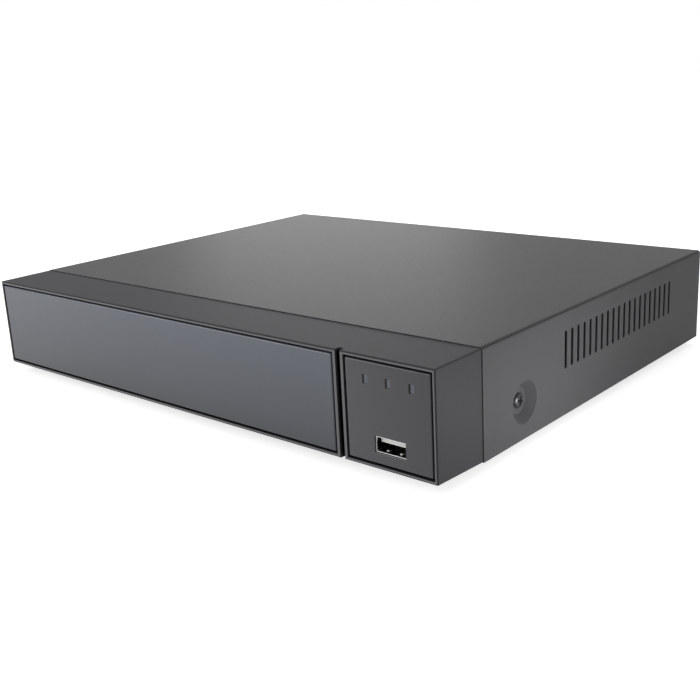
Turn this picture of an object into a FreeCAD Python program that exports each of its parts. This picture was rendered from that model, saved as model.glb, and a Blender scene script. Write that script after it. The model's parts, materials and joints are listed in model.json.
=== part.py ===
"""Compact digital video recorder for security cameras, as a parametric FreeCAD document.

Frame: millimetres, +Z up, +X to the right of someone facing the front, +Y to the back.
The origin is at the middle of the outline, on the plane that the rubber feet stand on.
Every driving size is a named cell of the sheet; the rest is worked out from those cells.
"""
import FreeCAD, Part
import math
import os

import Sketcher

Vector = FreeCAD.Vector

# ---------------------------------------------------------------- driving sizes

SIZES = {
    # outer case
    "case_width": 255.0,
    "case_depth": 208.0,
    "case_height": 41.5,
    "foot_height": 3.5,
    "cover_sheet": 1.0,
    "tray_sheet": 1.0,
    "sheet_fit": 0.2,
    "cover_bend": 1.5,
    "connector_reach": 13.5,
    # moulded front bezel
    "bezel_depth": 26.0,
    "seam_gap": 0.3,
    "bezel_step": 0.3,
    "top_draft": 0.15,
    "bottom_draft": 1.05,
    "bezel_wall": 2.0,
    "front_wall": 3.6,
    "bezel_round": 0.6,
    "rim_width": 1.15,
    "plate_gap": 0.85,
    "plate_thickness": 1.6,
    "plate_bevel": 0.3,
    "groove_inset": 41.5,
    "groove_width": 2.3,
    "groove_depth": 2.6,
    "bezel_boss": 6.4,
    "bezel_boss_inset": 2.6,
    "bezel_boss_step": 80.6,
    "bezel_boss_height": 20.0,
    # screws
    "thread_size": 3.0,
    "thread_room": 0.1,
    "shank_room": 0.4,
    "head_size": 5.8,
    "head_height": 1.6,
    "screw_length": 6.0,
    # indicators and the front data socket
    "window_width": 2.2,
    "window_height": 3.3,
    "window_pitch": 9.8,
    "window_drop": 8.9,
    "guide_fit": 0.1,
    "guide_recess": 0.35,
    "guide_bar": 1.2,
    "indicator_inset": 19.9,
    "board_stand": 13.5,
    "board_thickness": 1.6,
    "front_board_width": 22.0,
    "front_board_low": 4.6,
    "front_board_drop": 3.7,
    "front_screw_spread": 16.0,
    "front_screw_level": 21.0,
    "lamp_width": 2.0,
    "lamp_height": 1.25,
    "lamp_thickness": 0.8,
    "usb_inner_width": 12.5,
    "usb_inner_height": 5.12,
    "usb_sheet": 0.3,
    "usb_room": 0.15,
    "usb_level": 10.0,
    "usb_recess": 0.6,
    "usb_length": 12.9,
    "usb_block": 3.0,
    "usb_spring": 1.8,
    "usb_spring_rise": 0.45,
    "usb_spring_spread": 5.7,
    "usb_spring_set_back": 2.2,
    "tongue_width": 11.1,
    "tongue_height": 1.84,
    "tongue_gap": 0.35,
    "tongue_recess": 1.8,
    "finger_width": 1.0,
    "finger_height": 0.15,
    "finger_pitch": 2.3,
    # folded cover
    "vent_count": 20,
    "vent_pitch": 4.85,
    "vent_width": 1.8,
    "vent_length": 15.1,
    "vent_drop": 15.35,
    "vent_start": 82.5,
    "dimple_place": 53.1,
    "dimple_level": 14.1,
    "dimple_mouth": 16.5,
    "dimple_floor": 10.5,
    "dimple_depth": 3.0,
    "lip_height": 7.0,
    "lip_screw_inset": 19.5,
    "side_head_size": 6.0,
    "side_head_height": 1.2,
    "side_screw_length": 4.6,
    # base tray
    "tray_flange": 9.0,
    "tray_flange_start": 70.0,
    "tab_width": 18.0,
    "tab_height": 22.0,
    "front_wall_drop": 8.5,
    "foot_top": 13.0,
    "foot_bottom": 11.5,
    "foot_dish": 0.8,
    "foot_inset": 22.0,
    "foot_front": 40.0,
    "foot_back": 20.0,
    # hard disk drive, standard 3.5 inch outline
    "platter_size": 95.0,
    "platter_side_room": 3.3,
    "platter_end_room": 4.0,
    "disk_height": 26.1,
    "disk_left": 9.5,
    "disk_front": 31.0,
    "disk_stand": 3.0,
    "disk_hole_end": 41.28,
    "disk_hole_step": 44.45,
    "disk_hole_inset": 3.175,
    "emboss_foot": 15.0,
    "emboss_top": 10.0,
    "disk_screw": 3.5,
    "disk_wall": 4.8,
    "disk_end_wall": 9.0,
    "disk_floor_level": 6.0,
    "disk_floor": 2.4,
    "disk_lid": 1.2,
    "disk_lid_step": 0.7,
    "disk_lid_border": 4.0,
    "disk_board_rail": 7.5,
    "disk_board_level": 1.6,
    "disk_board_sheet": 1.0,
    "disk_board_length": 92.0,
    "disk_board_post": 5.0,
    "disk_board_inset": 6.0,
    "disk_board_screw": 2.0,
    "disk_board_head": 3.6,
    "disk_board_head_height": 1.2,
    "disk_corner": 3.0,
    "disk_bowl_room": 1.3,
    "plug_width": 41.0,
    "plug_depth": 10.0,
    "plug_height": 3.0,
    "platter_sheet": 1.27,
    "platter_count": 3,
    "deck_room": 0.7,
    "arm_room": 0.6,
    "spindle_post": 8.0,
    "hub_size": 25.0,
    "clamp_height": 1.4,
    "running_room": 0.05,
    "pivot_clear": 6.5,
    "pivot_end": 41.5,
    "pivot_aside": 18.0,
    "pivot_post": 6.0,
    "pivot_sleeve": 13.0,
    "arm_overlap": 5.5,
    "arm_sheet": 0.9,
    "arm_root": 10.0,
    "arm_tip": 3.0,
    "arm_parked": 107.6,
    "coil_reach": 23.0,
    "coil_spread": 21.0,
    "coil_height": 2.2,
    "coil_band": 3.2,
    "magnet_inner": 11.0,
    "magnet_outer": 27.0,
    "magnet_behind": 25.6,
    "magnet_ahead": 55.4,
    "magnet_gap_angle": 5.0,
    "magnet_sheet": 2.0,
    "magnet_room": 1.0,
    # main circuit board
    "board_margin": 10.5,
    "board_gap": 1.9,
    "board_back_room": 0.8,
    "stand_height": 5.0,
    "stand_size": 6.0,
    "stand_inset": 5.0,
    "stand_middle": 39.5,
    "stand_front": 5.5,
    "stand_back": 21.0,
    "chip_size": 27.0,
    "chip_height": 2.2,
    "chip_place": 5.0,
    "chip_inset": 20.0,
    "sink_size": 36.0,
    "sink_base": 3.0,
    "fin_height": 9.0,
    "fin_width": 1.3,
    "fin_count": 8,
    "memory_width": 8.0,
    "memory_length": 13.0,
    "memory_height": 1.1,
    "memory_spread": 27.0,
    "memory_step": 8.5,
    "coil_row_inset": 13.0,
    "coil_row_pitch": 15.0,
    "coil_count": 3,
    "first_row": 15.5,
    "second_row": 31.5,
    "inductor_size": 10.0,
    "inductor_height": 5.0,
    "inductor_corner": 2.5,
    "can_size": 8.0,
    "can_height": 11.5,
    "can_pitch": 10.5,
    "can_count": 4,
    "buzzer_gap": 22.0,
    "buzzer_size": 12.0,
    "buzzer_height": 8.5,
    "buzzer_hole": 2.2,
    "cell_inset": 47.0,
    "cell_row": 23.0,
    "cell_size": 20.0,
    "cell_height": 3.2,
    "holder_base": 1.2,
    "holder_wall": 1.6,
    "header_width": 12.0,
    "fan_header": 5.0,
    "header_height": 6.0,
    "header_length": 10.0,
    # cables and their plugs
    "data_lead": 5.0,
    "feed_lead": 6.0,
    "panel_lead": 8.0,
    "fan_lead": 2.2,
    "lead_thickness": 1.2,
    "plug_length": 8.0,
    "drive_plug_height": 3.0,
    "data_plug_width": 14.0,
    "feed_plug_width": 23.0,
    "data_inset": 55.0,
    "feed_inset": 39.5,
    "panel_inset": 24.0,
    "panel_level": 13.0,
    "fan_lead_inset": 14.0,
    # rear connectors
    "bnc_count": 4,
    "bnc_pitch": 16.5,
    "bnc_inset": 22.5,
    "bnc_level": 8.0,
    "bnc_bushing": 12.7,
    "bnc_barrel": 9.6,
    "bnc_bore": 8.2,
    "bnc_bushing_length": 3.4,
    "bnc_body": 14.5,
    "bnc_body_depth": 15.0,
    "bnc_lug": 2.0,
    "bnc_lug_reach": 0.8,
    "bnc_core": 6.4,
    "bnc_core_set_back": 1.6,
    "bnc_contact": 2.2,
    "bnc_contact_bore": 1.3,
    "wall_room": 0.3,
    "audio_gap": 20.5,
    "audio_level": 5.9,
    "audio_step": 12.2,
    "audio_sleeve": 8.3,
    "audio_bore": 3.3,
    "audio_reach": 9.0,
    "audio_wall": 0.6,
    "audio_block": 10.6,
    "audio_collar": 1.0,
    "audio_depth": 13.0,
    "video_gap": 27.0,
    "video_level": 6.5,
    "video_flange": 30.8,
    "video_flange_height": 12.5,
    "video_shroud": 16.6,
    "video_shroud_height": 8.2,
    "video_reach": 5.9,
    "video_screw_span": 24.99,
    "video_depth": 8.0,
    "video_sheet": 0.5,
    "video_slip": 0.05,
    "video_lean": 0.7,
    "video_corner": 1.8,
    "video_pin": 1.1,
    "video_pin_pitch": 2.29,
    "video_row_pitch": 1.98,
    "jack_hex": 4.8,
    "hdmi_gap": 28.0,
    "hdmi_width": 14.9,
    "hdmi_height": 5.6,
    "hdmi_sheet": 0.4,
    "hdmi_cut": 1.4,
    "hdmi_depth": 11.0,
    "socket_reach": 1.0,
    "hdmi_tongue": 11.2,
    "network_gap": 21.0,
    "network_width": 16.0,
    "network_height": 13.4,
    "network_depth": 18.0,
    "network_mouth": 11.8,
    "network_mouth_height": 7.4,
    "network_mouth_depth": 13.0,
    "network_mouth_level": 3.6,
    "network_pitch": 1.02,
    "network_wire": 0.45,
    "network_ways": 8,
    "network_contact_set_back": 3.0,
    "latch_width": 6.0,
    "latch_depth": 2.2,
    "rear_usb_gap": 22.0,
    "power_gap": 29.0,
    "power_body": 10.6,
    "power_depth": 13.5,
    "power_bore": 6.3,
    "power_pin": 2.0,
    "power_bore_depth": 9.0,
    # cooling fan
    "fan_size": 30.0,
    "fan_depth": 10.0,
    "fan_bore": 28.0,
    "fan_hole_span": 24.0,
    "fan_hole": 3.3,
    "fan_place": 98.0,
    "fan_drop": 17.0,
    "fan_side_room": 2.5,
    "fan_hub": 15.0,
    "fan_shaft": 2.0,
    "fan_bearing": 5.0,
    "fan_corner": 2.0,
    "fan_strut": 1.6,
    "fan_cap": 0.6,
    "fan_hub_wall": 1.2,
    "fan_tip_room": 0.6,
    "blade_count": 7,
    "blade_chord": 6.0,
    "blade_sheet": 1.0,
    "blade_root_angle": 48.0,
    "blade_tip_angle": 34.0,
    "bracket_sheet": 1.0,
    "bracket_foot": 11.0,
}

doc = FreeCAD.newDocument("video_recorder")
sheet = doc.addObject("Spreadsheet::Sheet", "sizes")


class Size:
    """A length that carries its number and the sheet formula that gives it."""

    def __init__(self, value, formula):
        self.value = value
        self.formula = formula

    def __add__(self, other):
        other = as_size(other)
        return Size(self.value + other.value, f"({self.formula} + {other.formula})")

    def __sub__(self, other):
        other = as_size(other)
        return Size(self.value - other.value, f"({self.formula} - {other.formula})")

    def __mul__(self, other):
        other = as_size(other)
        return Size(self.value * other.value, f"({self.formula} * {other.formula})")

    def __truediv__(self, other):
        other = as_size(other)
        return Size(self.value / other.value, f"({self.formula} / {other.formula})")

    def __neg__(self):
        return Size(-self.value, f"(0 - {self.formula})")

    def __radd__(self, other):
        return as_size(other) + self

    def __rsub__(self, other):
        return as_size(other) - self

    def __rmul__(self, other):
        return as_size(other) * self


def as_size(value):
    if isinstance(value, Size):
        return value
    return Size(float(value), f"({float(value):.6f})")


def cosine(angle):
    angle = as_size(angle)
    return Size(math.cos(math.radians(angle.value)), f"cos({angle.formula})")


def sine(angle):
    angle = as_size(angle)
    return Size(math.sin(math.radians(angle.value)), f"sin({angle.formula})")


class Sheet:
    """The sheet's cells as Size values: s.case_width and so on."""

    def __init__(self, sizes):
        for row, (name, value) in enumerate(sizes.items(), start=1):
            sheet.set(f"A{row}", name)
            sheet.set(f"B{row}", str(value))
            sheet.setAlias(f"B{row}", name)
            setattr(self, name, Size(float(value), f"<<sizes>>.{name}"))


s = Sheet(SIZES)
doc.recompute()


def bind(thing, path, size):
    """Drive one property of an object from the sheet."""
    thing.setExpression(path, as_size(size).formula)


# ---------------------------------------------------------------- sketch outlines

def fix(sketch, geometry, point, x, y):
    """Hold a point of a sketch element at x, y from the sketch's origin."""
    for kind, value in (("DistanceX", as_size(x)), ("DistanceY", as_size(y))):
        index = sketch.addConstraint(Sketcher.Constraint(kind, -1, 1, geometry, point, value.value))
        bind(sketch, f"Constraints[{index}]", value)


def fix_radius(sketch, geometry, radius):
    radius = as_size(radius)
    index = sketch.addConstraint(Sketcher.Constraint("Radius", geometry, radius.value))
    bind(sketch, f"Constraints[{index}]", radius)


def polygon(*points):
    """A closed outline of straight lines through the points."""
    corners = [(as_size(x), as_size(y)) for x, y in points]

    def draw(sketch):
        lines = []
        for (x, y), (next_x, next_y) in zip(corners, corners[1:] + corners[:1]):
            start = Vector(x.value, y.value, 0)
            end = Vector(next_x.value, next_y.value, 0)
            lines.append(sketch.addGeometry(Part.LineSegment(start, end)))
        for line, next_line in zip(lines, lines[1:] + lines[:1]):
            sketch.addConstraint(Sketcher.Constraint("Coincident", line, 2, next_line, 1))
        for line, (x, y) in zip(lines, corners):
            fix(sketch, line, 1, x, y)
    return draw


def rect(low_x, low_y, high_x, high_y):
    return polygon((low_x, low_y), (high_x, low_y), (high_x, high_y), (low_x, high_y))


def centred(x, y, width, height):
    return rect(x - width / 2, y - height / 2, x + width / 2, y + height / 2)


def circle(x, y, diameter):
    x, y, radius = as_size(x), as_size(y), as_size(diameter) / 2

    def draw(sketch):
        centre = Vector(x.value, y.value, 0)
        ring = sketch.addGeometry(Part.Circle(centre, Vector(0, 0, 1), radius.value))
        fix(sketch, ring, 3, x, y)
        fix_radius(sketch, ring, radius)
    return draw


def rounded(centres, radius):
    """Equal arcs about the centres, taken anticlockwise, joined by tangent lines."""
    middles = [(as_size(x), as_size(y)) for x, y in centres]
    radius = as_size(radius)

    def draw(sketch):
        flat = [Vector(x.value, y.value, 0) for x, y in middles]
        outward = []
        for here, ahead in zip(flat, flat[1:] + flat[:1]):
            run = (ahead - here).normalize()
            outward.append(Vector(run.y, -run.x, 0) * radius.value)
        lines = []
        for here, ahead, shift in zip(flat, flat[1:] + flat[:1], outward):
            lines.append(sketch.addGeometry(Part.LineSegment(here + shift, ahead + shift)))
        for index, here in enumerate(flat):
            before, after = outward[index - 1], outward[index]
            start = math.atan2(before.y, before.x)
            end = math.atan2(after.y, after.x)
            ring = Part.Circle(here, Vector(0, 0, 1), radius.value)
            arc = sketch.addGeometry(Part.ArcOfCircle(ring, start, end))
            fix(sketch, arc, 3, *middles[index])
            fix_radius(sketch, arc, radius)
            sketch.addConstraint(Sketcher.Constraint("Tangent", lines[index - 1], 2, arc, 1))
            sketch.addConstraint(Sketcher.Constraint("Tangent", arc, 2, lines[index], 1))
    return draw


def rounded_rect(low_x, low_y, high_x, high_y, radius):
    left, right = low_x + radius, high_x - radius
    bottom, top = low_y + radius, high_y - radius
    return rounded([(left, bottom), (right, bottom), (right, top), (left, top)], radius)


def upright_slot(x, y, width, length):
    reach = (length - width) / 2
    return rounded([(x, y - reach), (x, y + reach)], width / 2)


def sector(x, y, inner, outer, start, end):
    """Part of a flat ring about x, y between two directions in degrees."""
    corners = []
    for radius, angle in ((inner, start), (outer, start), (outer, end), (inner, end)):
        corners.append((x + radius * cosine(angle), y + radius * sine(angle)))
    centre = Vector(x.value, y.value, 0)
    turn = (math.radians(as_size(start).value), math.radians(as_size(end).value))

    def draw(sketch):
        flat = [Vector(a.value, b.value, 0) for a, b in corners]
        first = sketch.addGeometry(Part.LineSegment(flat[0], flat[1]))
        big_ring = Part.Circle(centre, Vector(0, 0, 1), outer.value)
        big = sketch.addGeometry(Part.ArcOfCircle(big_ring, *turn))
        last = sketch.addGeometry(Part.LineSegment(flat[2], flat[3]))
        small_ring = Part.Circle(centre, Vector(0, 0, 1), inner.value)
        small = sketch.addGeometry(Part.ArcOfCircle(small_ring, *turn))
        for ends in ((first, 2, big, 1), (big, 2, last, 1), (last, 2, small, 2), (small, 1, first, 1)):
            sketch.addConstraint(Sketcher.Constraint("Coincident", *ends))
        fix(sketch, first, 1, *corners[0])
        fix(sketch, first, 2, *corners[1])
        fix(sketch, last, 1, *corners[2])
        fix(sketch, last, 2, *corners[3])
        fix_radius(sketch, big, outer)
        fix_radius(sketch, small, inner)
    return draw


# ---------------------------------------------------------------- sub-part bodies

PARTS = []
LOOSE = []
# for each plane: does its normal point along the world axis (1) or against it (-1)
NORMAL = {"XY": 1, "XZ": -1, "YZ": 1}


class SubPart:
    """One named body, built from sketches that sit on its own origin planes."""

    def __init__(self, name):
        self.body = doc.addObject("PartDesign::Body", name)
        self.body.Label = name
        self.body.AllowCompound = True
        self.count = 0
        PARTS.append(self)

    def datum(self, role):
        return next(item for item in self.body.Origin.OriginFeatures if item.Role == role)

    def feature(self, kind):
        self.count += 1
        return self.body.newObject(kind, f"{self.body.Name}_{self.count}")

    def sketch(self, plane, level, outlines, across=0, up=0):
        sketch = self.feature("Sketcher::SketchObject")
        sketch.AttachmentSupport = (self.datum(plane + "_Plane"), [""])
        sketch.MapMode = "FlatFace"
        bind(sketch, "AttachmentOffset.Base.x", across)
        bind(sketch, "AttachmentOffset.Base.y", up)
        bind(sketch, "AttachmentOffset.Base.z", as_size(level) * NORMAL[plane])
        for outline in outlines:
            outline(sketch)
        return sketch

    def pad(self, plane, start, end, *outlines):
        pad = self.feature_on("PartDesign::Pad", plane, start, outlines)
        bind(pad, "Length", as_size(end) - start)
        pad.Reversed = NORMAL[plane] < 0
        return pad

    def cut(self, plane, start, end, *outlines):
        pocket = self.feature_on("PartDesign::Pocket", plane, start, outlines)
        bind(pocket, "Length", as_size(end) - start)
        pocket.Reversed = NORMAL[plane] > 0
        return pocket

    def feature_on(self, kind, plane, level, outlines):
        sketch = self.sketch(plane, level, outlines)
        feature = self.feature(kind)
        feature.Profile = sketch
        return feature

    def loft(self, plane, *sections):
        sketches = [self.sketch(plane, level, [outline]) for level, outline in sections]
        loft = self.feature("PartDesign::AdditiveLoft")
        loft.Profile = sketches[0]
        loft.Sections = sketches[1:]
        return loft

    def turn(self, axis, centre, *outlines, kind="PartDesign::Revolution"):
        """Revolve outlines of (along, radius) points about a line parallel to X, Y or Z."""
        x, y, z = centre
        if axis == "Z":
            flipped = [polygon(*[(radius, along) for along, radius in points]) for points in outlines]
            sketch = self.sketch("XZ", y, flipped, across=x)
        elif axis == "Y":
            sketch = self.sketch("YZ", x, [polygon(*points) for points in outlines], up=z)
        else:
            sketch = self.sketch("XZ", y, [polygon(*points) for points in outlines], up=z)
        turned = self.feature(kind)
        turned.Profile = sketch
        turned.ReferenceAxis = (sketch, ["V_Axis" if axis == "Z" else "H_Axis"])
        turned.Angle = 360
        return turned

    def hollow(self, axis, centre, *outlines):
        return self.turn(axis, centre, *outlines, kind="PartDesign::Groove")

    def repeat(self, features, axis, spacing, count):
        row = self.feature("PartDesign::LinearPattern")
        row.Originals = features
        row.Direction = (self.datum(axis + "_Axis"), [""])
        row.Reversed = as_size(spacing).value < 0
        step = -spacing if row.Reversed else spacing
        bind(row, "Length", step * (as_size(count) - 1))
        bind(row, "Occurrences", count)
        self.body.Tip = row
        return row

    def edges(self, kind, amount, path, chosen):
        """Fillet or chamfer the edges of the body so far that chosen(edge) picks."""
        doc.recompute()
        tip = self.body.Tip
        names = []
        for index, edge in enumerate(tip.Shape.Edges, start=1):
            if chosen(edge):
                names.append(f"Edge{index}")
        dressed = self.feature(kind)
        dressed.Base = (tip, names)
        bind(dressed, path, amount)
        return dressed

    def fillet(self, radius, chosen):
        return self.edges("PartDesign::Fillet", radius, "Radius", chosen)

    def chamfer(self, size, chosen):
        return self.edges("PartDesign::Chamfer", size, "Size", chosen)


def lies_at(edge, axis, level):
    """Whether the whole edge lies in the plane axis = level."""
    box = edge.BoundBox
    low, high = {"x": (box.XMin, box.XMax), "y": (box.YMin, box.YMax), "z": (box.ZMin, box.ZMax)}[axis]
    return abs(low - as_size(level).value) < 1e-4 and abs(high - as_size(level).value) < 1e-4


def runs_along(edge, axis):
    """Whether the edge is a straight line parallel to the axis."""
    if edge.Curve.TypeId != "Part::GeomLine":
        return False
    box = edge.BoundBox
    spans = {"x": box.XLength, "y": box.YLength, "z": box.ZLength}
    return spans[axis] > 1e-3 and sum(spans.values()) - spans[axis] < 1e-4


# ---------------------------------------------------------------- places that parts share

half = s.case_width / 2
front = -(s.case_depth + s.connector_reach) / 2
floor = s.foot_height
roof = floor + s.case_height
back = front + s.case_depth
tray_floor = floor + s.tray_sheet
tray_half = half - s.cover_sheet - s.sheet_fit
tray_front = front + s.bezel_depth + s.seam_gap
tray_back = back - s.cover_sheet - s.sheet_fit
wall_inside = tray_back - s.tray_sheet

bezel_half = half - s.bezel_step
bezel_back = front + s.bezel_depth
bezel_top = roof - s.bezel_step - s.top_draft
bezel_bottom = floor + s.bottom_draft
plate_back = front + s.plate_thickness
wall_back = front + s.front_wall
groove_x = half - s.groove_inset
groove_left = groove_x - s.groove_width / 2
groove_right = groove_x + s.groove_width / 2
recess_top = bezel_top - s.rim_width
recess_bottom = bezel_bottom + s.rim_width
window_level = roof - s.window_drop
indicator_x = half - s.indicator_inset
usb_level = floor + s.usb_level
board_face = front + s.board_stand

boss_level = floor + s.bezel_boss_height
boss_outer = bezel_half - s.bezel_wall - s.bezel_boss_inset
boss_inner = boss_outer - s.bezel_boss_step
boss_places = [-boss_outer, -boss_inner, boss_inner, boss_outer]
front_screw_places = [indicator_x - s.front_screw_spread / 2, indicator_x + s.front_screw_spread / 2]
front_screw_level = floor + s.front_screw_level

tab_outside = half - s.dimple_depth - s.cover_sheet
dimple_y = front + s.dimple_place
dimple_z = floor + s.dimple_level
lip_z = roof - s.lip_height / 2
lip_outer = half - s.lip_screw_inset
lip_places = [-lip_outer, as_size(0), lip_outer]
foot_places = [
    (side * (half - s.foot_inset), depth)
    for side in (-1, 1) for depth in (tray_front + s.foot_front, tray_back - s.foot_back)
]

disk_x0 = s.disk_left - half
spindle_x = disk_x0 + s.platter_end_room + s.platter_size / 2
pivot_x = spindle_x + s.platter_size / 2 + s.pivot_clear
disk_x1 = pivot_x + s.pivot_end
disk_y0 = front + s.disk_front
disk_y1 = disk_y0 + s.platter_size + s.platter_side_room * 2
disk_z0 = tray_floor + s.disk_stand
disk_z1 = disk_z0 + s.disk_height
disk_mid = (disk_y0 + disk_y1) / 2
disk_holes = [
    (x, y) for x in (disk_x1 - s.disk_hole_end, disk_x1 - s.disk_hole_end - s.disk_hole_step)
    for y in (disk_y0 + s.disk_hole_inset, disk_y1 - s.disk_hole_inset)
]
disk_floor_z = disk_z0 + s.disk_floor_level
disk_deck = disk_floor_z + s.disk_floor
disk_rim = disk_z1 - s.disk_lid
disk_board_z0 = disk_z0 + s.disk_board_level
disk_board_z1 = disk_board_z0 + s.disk_board_sheet
pivot_y = disk_mid - s.pivot_aside
platter_low = disk_deck + s.deck_room + s.arm_sheet + s.arm_room
platter_pitch = s.platter_sheet + s.arm_sheet + s.arm_room * 2
platter_top = platter_low + platter_pitch * (s.platter_count - 1) + s.platter_sheet
arm_low = disk_deck + s.deck_room
arm_reach = s.platter_size / 2 + s.arm_overlap
arm_top = platter_top + s.arm_room + s.arm_sheet

board_z0 = tray_floor + s.stand_height
board_z1 = board_z0 + s.board_thickness
board_half = half - s.board_margin
board_y0 = disk_y1 + s.board_gap
board_y1 = wall_inside - s.board_back_room
socket_face = wall_inside - s.wall_room
stand_side = board_half - s.stand_inset
stand_places = [
    (x, y) for x in (-stand_side, s.stand_middle, stand_side)
    for y in (board_y0 + s.stand_front, board_y1 - s.stand_back)
]
first_row = board_y0 + s.first_row
second_row = board_y0 + s.second_row
coil_row_x = s.coil_row_inset - board_half
data_x = board_half - s.data_inset
feed_x = board_half - s.feed_inset
panel_x = board_half - s.panel_inset
fan_lead_x = board_half - s.fan_lead_inset

# rear connectors, each at its own distance from the one to its right as seen from the front
bnc_z = board_z1 + s.bnc_level
bnc_first = half - s.bnc_inset
bnc_places = [bnc_first - s.bnc_pitch * index for index in range(SIZES["bnc_count"])]
audio_x = bnc_places[-1] - s.audio_gap
video_x = audio_x - s.video_gap
hdmi_x = video_x - s.hdmi_gap
network_x = hdmi_x - s.network_gap
rear_usb_x = network_x - s.rear_usb_gap
power_x = rear_usb_x - s.power_gap
audio_levels = [board_z1 + s.audio_level, board_z1 + s.audio_level + s.audio_step]
video_z = board_z1 + s.video_level
hdmi_z = board_z1 + s.hdmi_height / 2
usb_rear_z = board_z1 + s.usb_inner_height / 2 + s.usb_sheet
power_z = board_z1 + s.power_body / 2

fan_y = front + s.fan_place
fan_z = roof - s.fan_drop
fan_x1 = half - s.cover_sheet - s.fan_side_room
fan_x0 = fan_x1 - s.fan_depth


# plugs on the drive's connector, and where each cable meets the main board
disk_plug_y = disk_mid - s.pivot_aside / 2
data_y = disk_plug_y + s.plug_width / 2 - s.data_plug_width / 2
feed_y = disk_plug_y - s.plug_width / 2 + s.feed_plug_width / 2
drive_plug_z = disk_board_z1 + s.plug_height / 2
front_header_y = board_face + s.board_thickness + s.plug_length
front_header_z = floor + s.panel_level
board_plug_z = board_z1 + s.header_height / 2


# ---------------------------------------------------------------- fasteners

# a pan head's shares: how much of its height is rounded over, and how wide its crown stays
HEAD_ROUND = 0.45
CROWN_SHARE = 0.36


def screws(part, axis, seats, head=s.head_size, height=s.head_height,
           length=s.screw_length, thread=s.thread_size):
    """Pan-head screws: each seat is x, y, z of the middle under the head, then a direction.

    The shank runs from the seat along the direction (1 or -1) on the axis, the head the other way.
    """
    for x, y, z, direction in seats:
        seat = {"X": x, "Y": y, "Z": z}[axis]
        crown = seat - direction * height
        shoulder = crown + direction * (height * HEAD_ROUND)
        tip = seat + direction * length
        part.turn(axis, (x, y, z), [
            (tip, 0), (tip, thread / 2), (seat, thread / 2), (seat, head / 2),
            (shoulder, head / 2), (crown, head * CROWN_SHARE), (crown, 0),
        ])


# ---------------------------------------------------------------- bezel and what it carries

def window_outlines(grow=0.0):
    """The three indicator windows, each made larger by grow on every side."""
    width = s.window_width + grow * 2
    height = s.window_height + grow * 2
    places = [indicator_x + s.window_pitch * step for step in (-1, 0, 1)]
    return [centred(x, window_level, width, height) for x in places]


def usb_outline(room):
    width = s.usb_inner_width + s.usb_sheet * 2 + room * 2
    height = s.usb_inner_height + s.usb_sheet * 2 + room * 2
    return centred(indicator_x, usb_level, width, height)


def make_front_bezel():
    """Moulded shell: drafted outside, hollow back, plate recesses and a full-height groove."""
    part = SubPart("front_bezel")
    nose = rect(-bezel_half, bezel_bottom, bezel_half, bezel_top)
    tail = rect(-bezel_half, floor, bezel_half, roof - s.bezel_step)
    part.loft("XZ", (bezel_back, tail), (front, nose))
    part.fillet(s.bezel_round, lambda edge: not lies_at(edge, "y", bezel_back))
    inside = bezel_half - s.bezel_wall
    part.cut("XZ", wall_back, bezel_back,
             rect(-inside, bezel_bottom + s.bezel_wall, inside, bezel_top - s.bezel_wall))
    part.cut("XZ", front, plate_back,
             rect(s.rim_width - bezel_half, recess_bottom, groove_left - s.rim_width, recess_top),
             rect(groove_right + s.rim_width, recess_bottom, bezel_half - s.rim_width, recess_top))
    part.cut("XZ", front, front + s.groove_depth, rect(groove_left, floor, groove_right, roof))
    part.cut("XZ", plate_back, wall_back, *window_outlines())
    part.cut("XZ", plate_back, wall_back, usb_outline(s.usb_room))
    part.pad("XZ", wall_back, tray_front,
             *[circle(x, boss_level, s.bezel_boss) for x in boss_places])
    part.cut("XZ", tray_front - s.screw_length, tray_front,
             *[circle(x, boss_level, s.thread_size + s.thread_room) for x in boss_places])
    part.pad("XZ", wall_back, board_face,
             *[circle(x, front_screw_level, s.bezel_boss) for x in front_screw_places])
    part.cut("XZ", board_face - s.screw_length, board_face,
             *[circle(x, front_screw_level, s.thread_size + s.thread_room) for x in front_screw_places])


def make_front_plates():
    """Two glossy plates that lie flush with the rim, inside an even channel."""
    low = recess_bottom + s.plate_gap
    high = recess_top - s.plate_gap
    rim = s.rim_width + s.plate_gap
    left = SubPart("left_front_plate")
    left.pad("XZ", front, plate_back, rect(rim - bezel_half, low, groove_left - rim, high))
    left.chamfer(s.plate_bevel, lambda edge: lies_at(edge, "y", front))
    right = SubPart("indicator_plate")
    right.pad("XZ", front, plate_back, rect(groove_right + rim, low, bezel_half - rim, high))
    right.chamfer(s.plate_bevel, lambda edge: lies_at(edge, "y", front))
    right.cut("XZ", front, plate_back, *window_outlines())
    right.cut("XZ", front, plate_back, usb_outline(s.usb_room))


def make_indicators():
    guide = SubPart("light_guide")
    guide.pad("XZ", front + s.guide_recess, board_face - s.lamp_thickness - s.sheet_fit,
              *window_outlines(-s.guide_fit))
    bar_width = s.window_pitch * 2 + s.window_width * 2
    guide.pad("XZ", wall_back, wall_back + s.guide_bar,
              centred(indicator_x, window_level, bar_width, s.window_height + s.guide_bar))
    lamps = SubPart("indicator_lamps")
    lamps.pad("XZ", board_face - s.lamp_thickness, board_face,
              *[centred(indicator_x + s.window_pitch * step, window_level, s.lamp_width, s.lamp_height)
                for step in (-1, 0, 1)])


def make_front_board():
    """Upright board behind the indicator plate; it carries the lamps and the data socket."""
    board = SubPart("front_board")
    left = indicator_x - s.front_board_width / 2
    right = indicator_x + s.front_board_width / 2
    holes = [circle(x, front_screw_level, s.thread_size + s.shank_room) for x in front_screw_places]
    board.pad("XZ", board_face, board_face + s.board_thickness,
              rect(left, floor + s.front_board_low, right, roof - s.front_board_drop), *holes)


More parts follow.
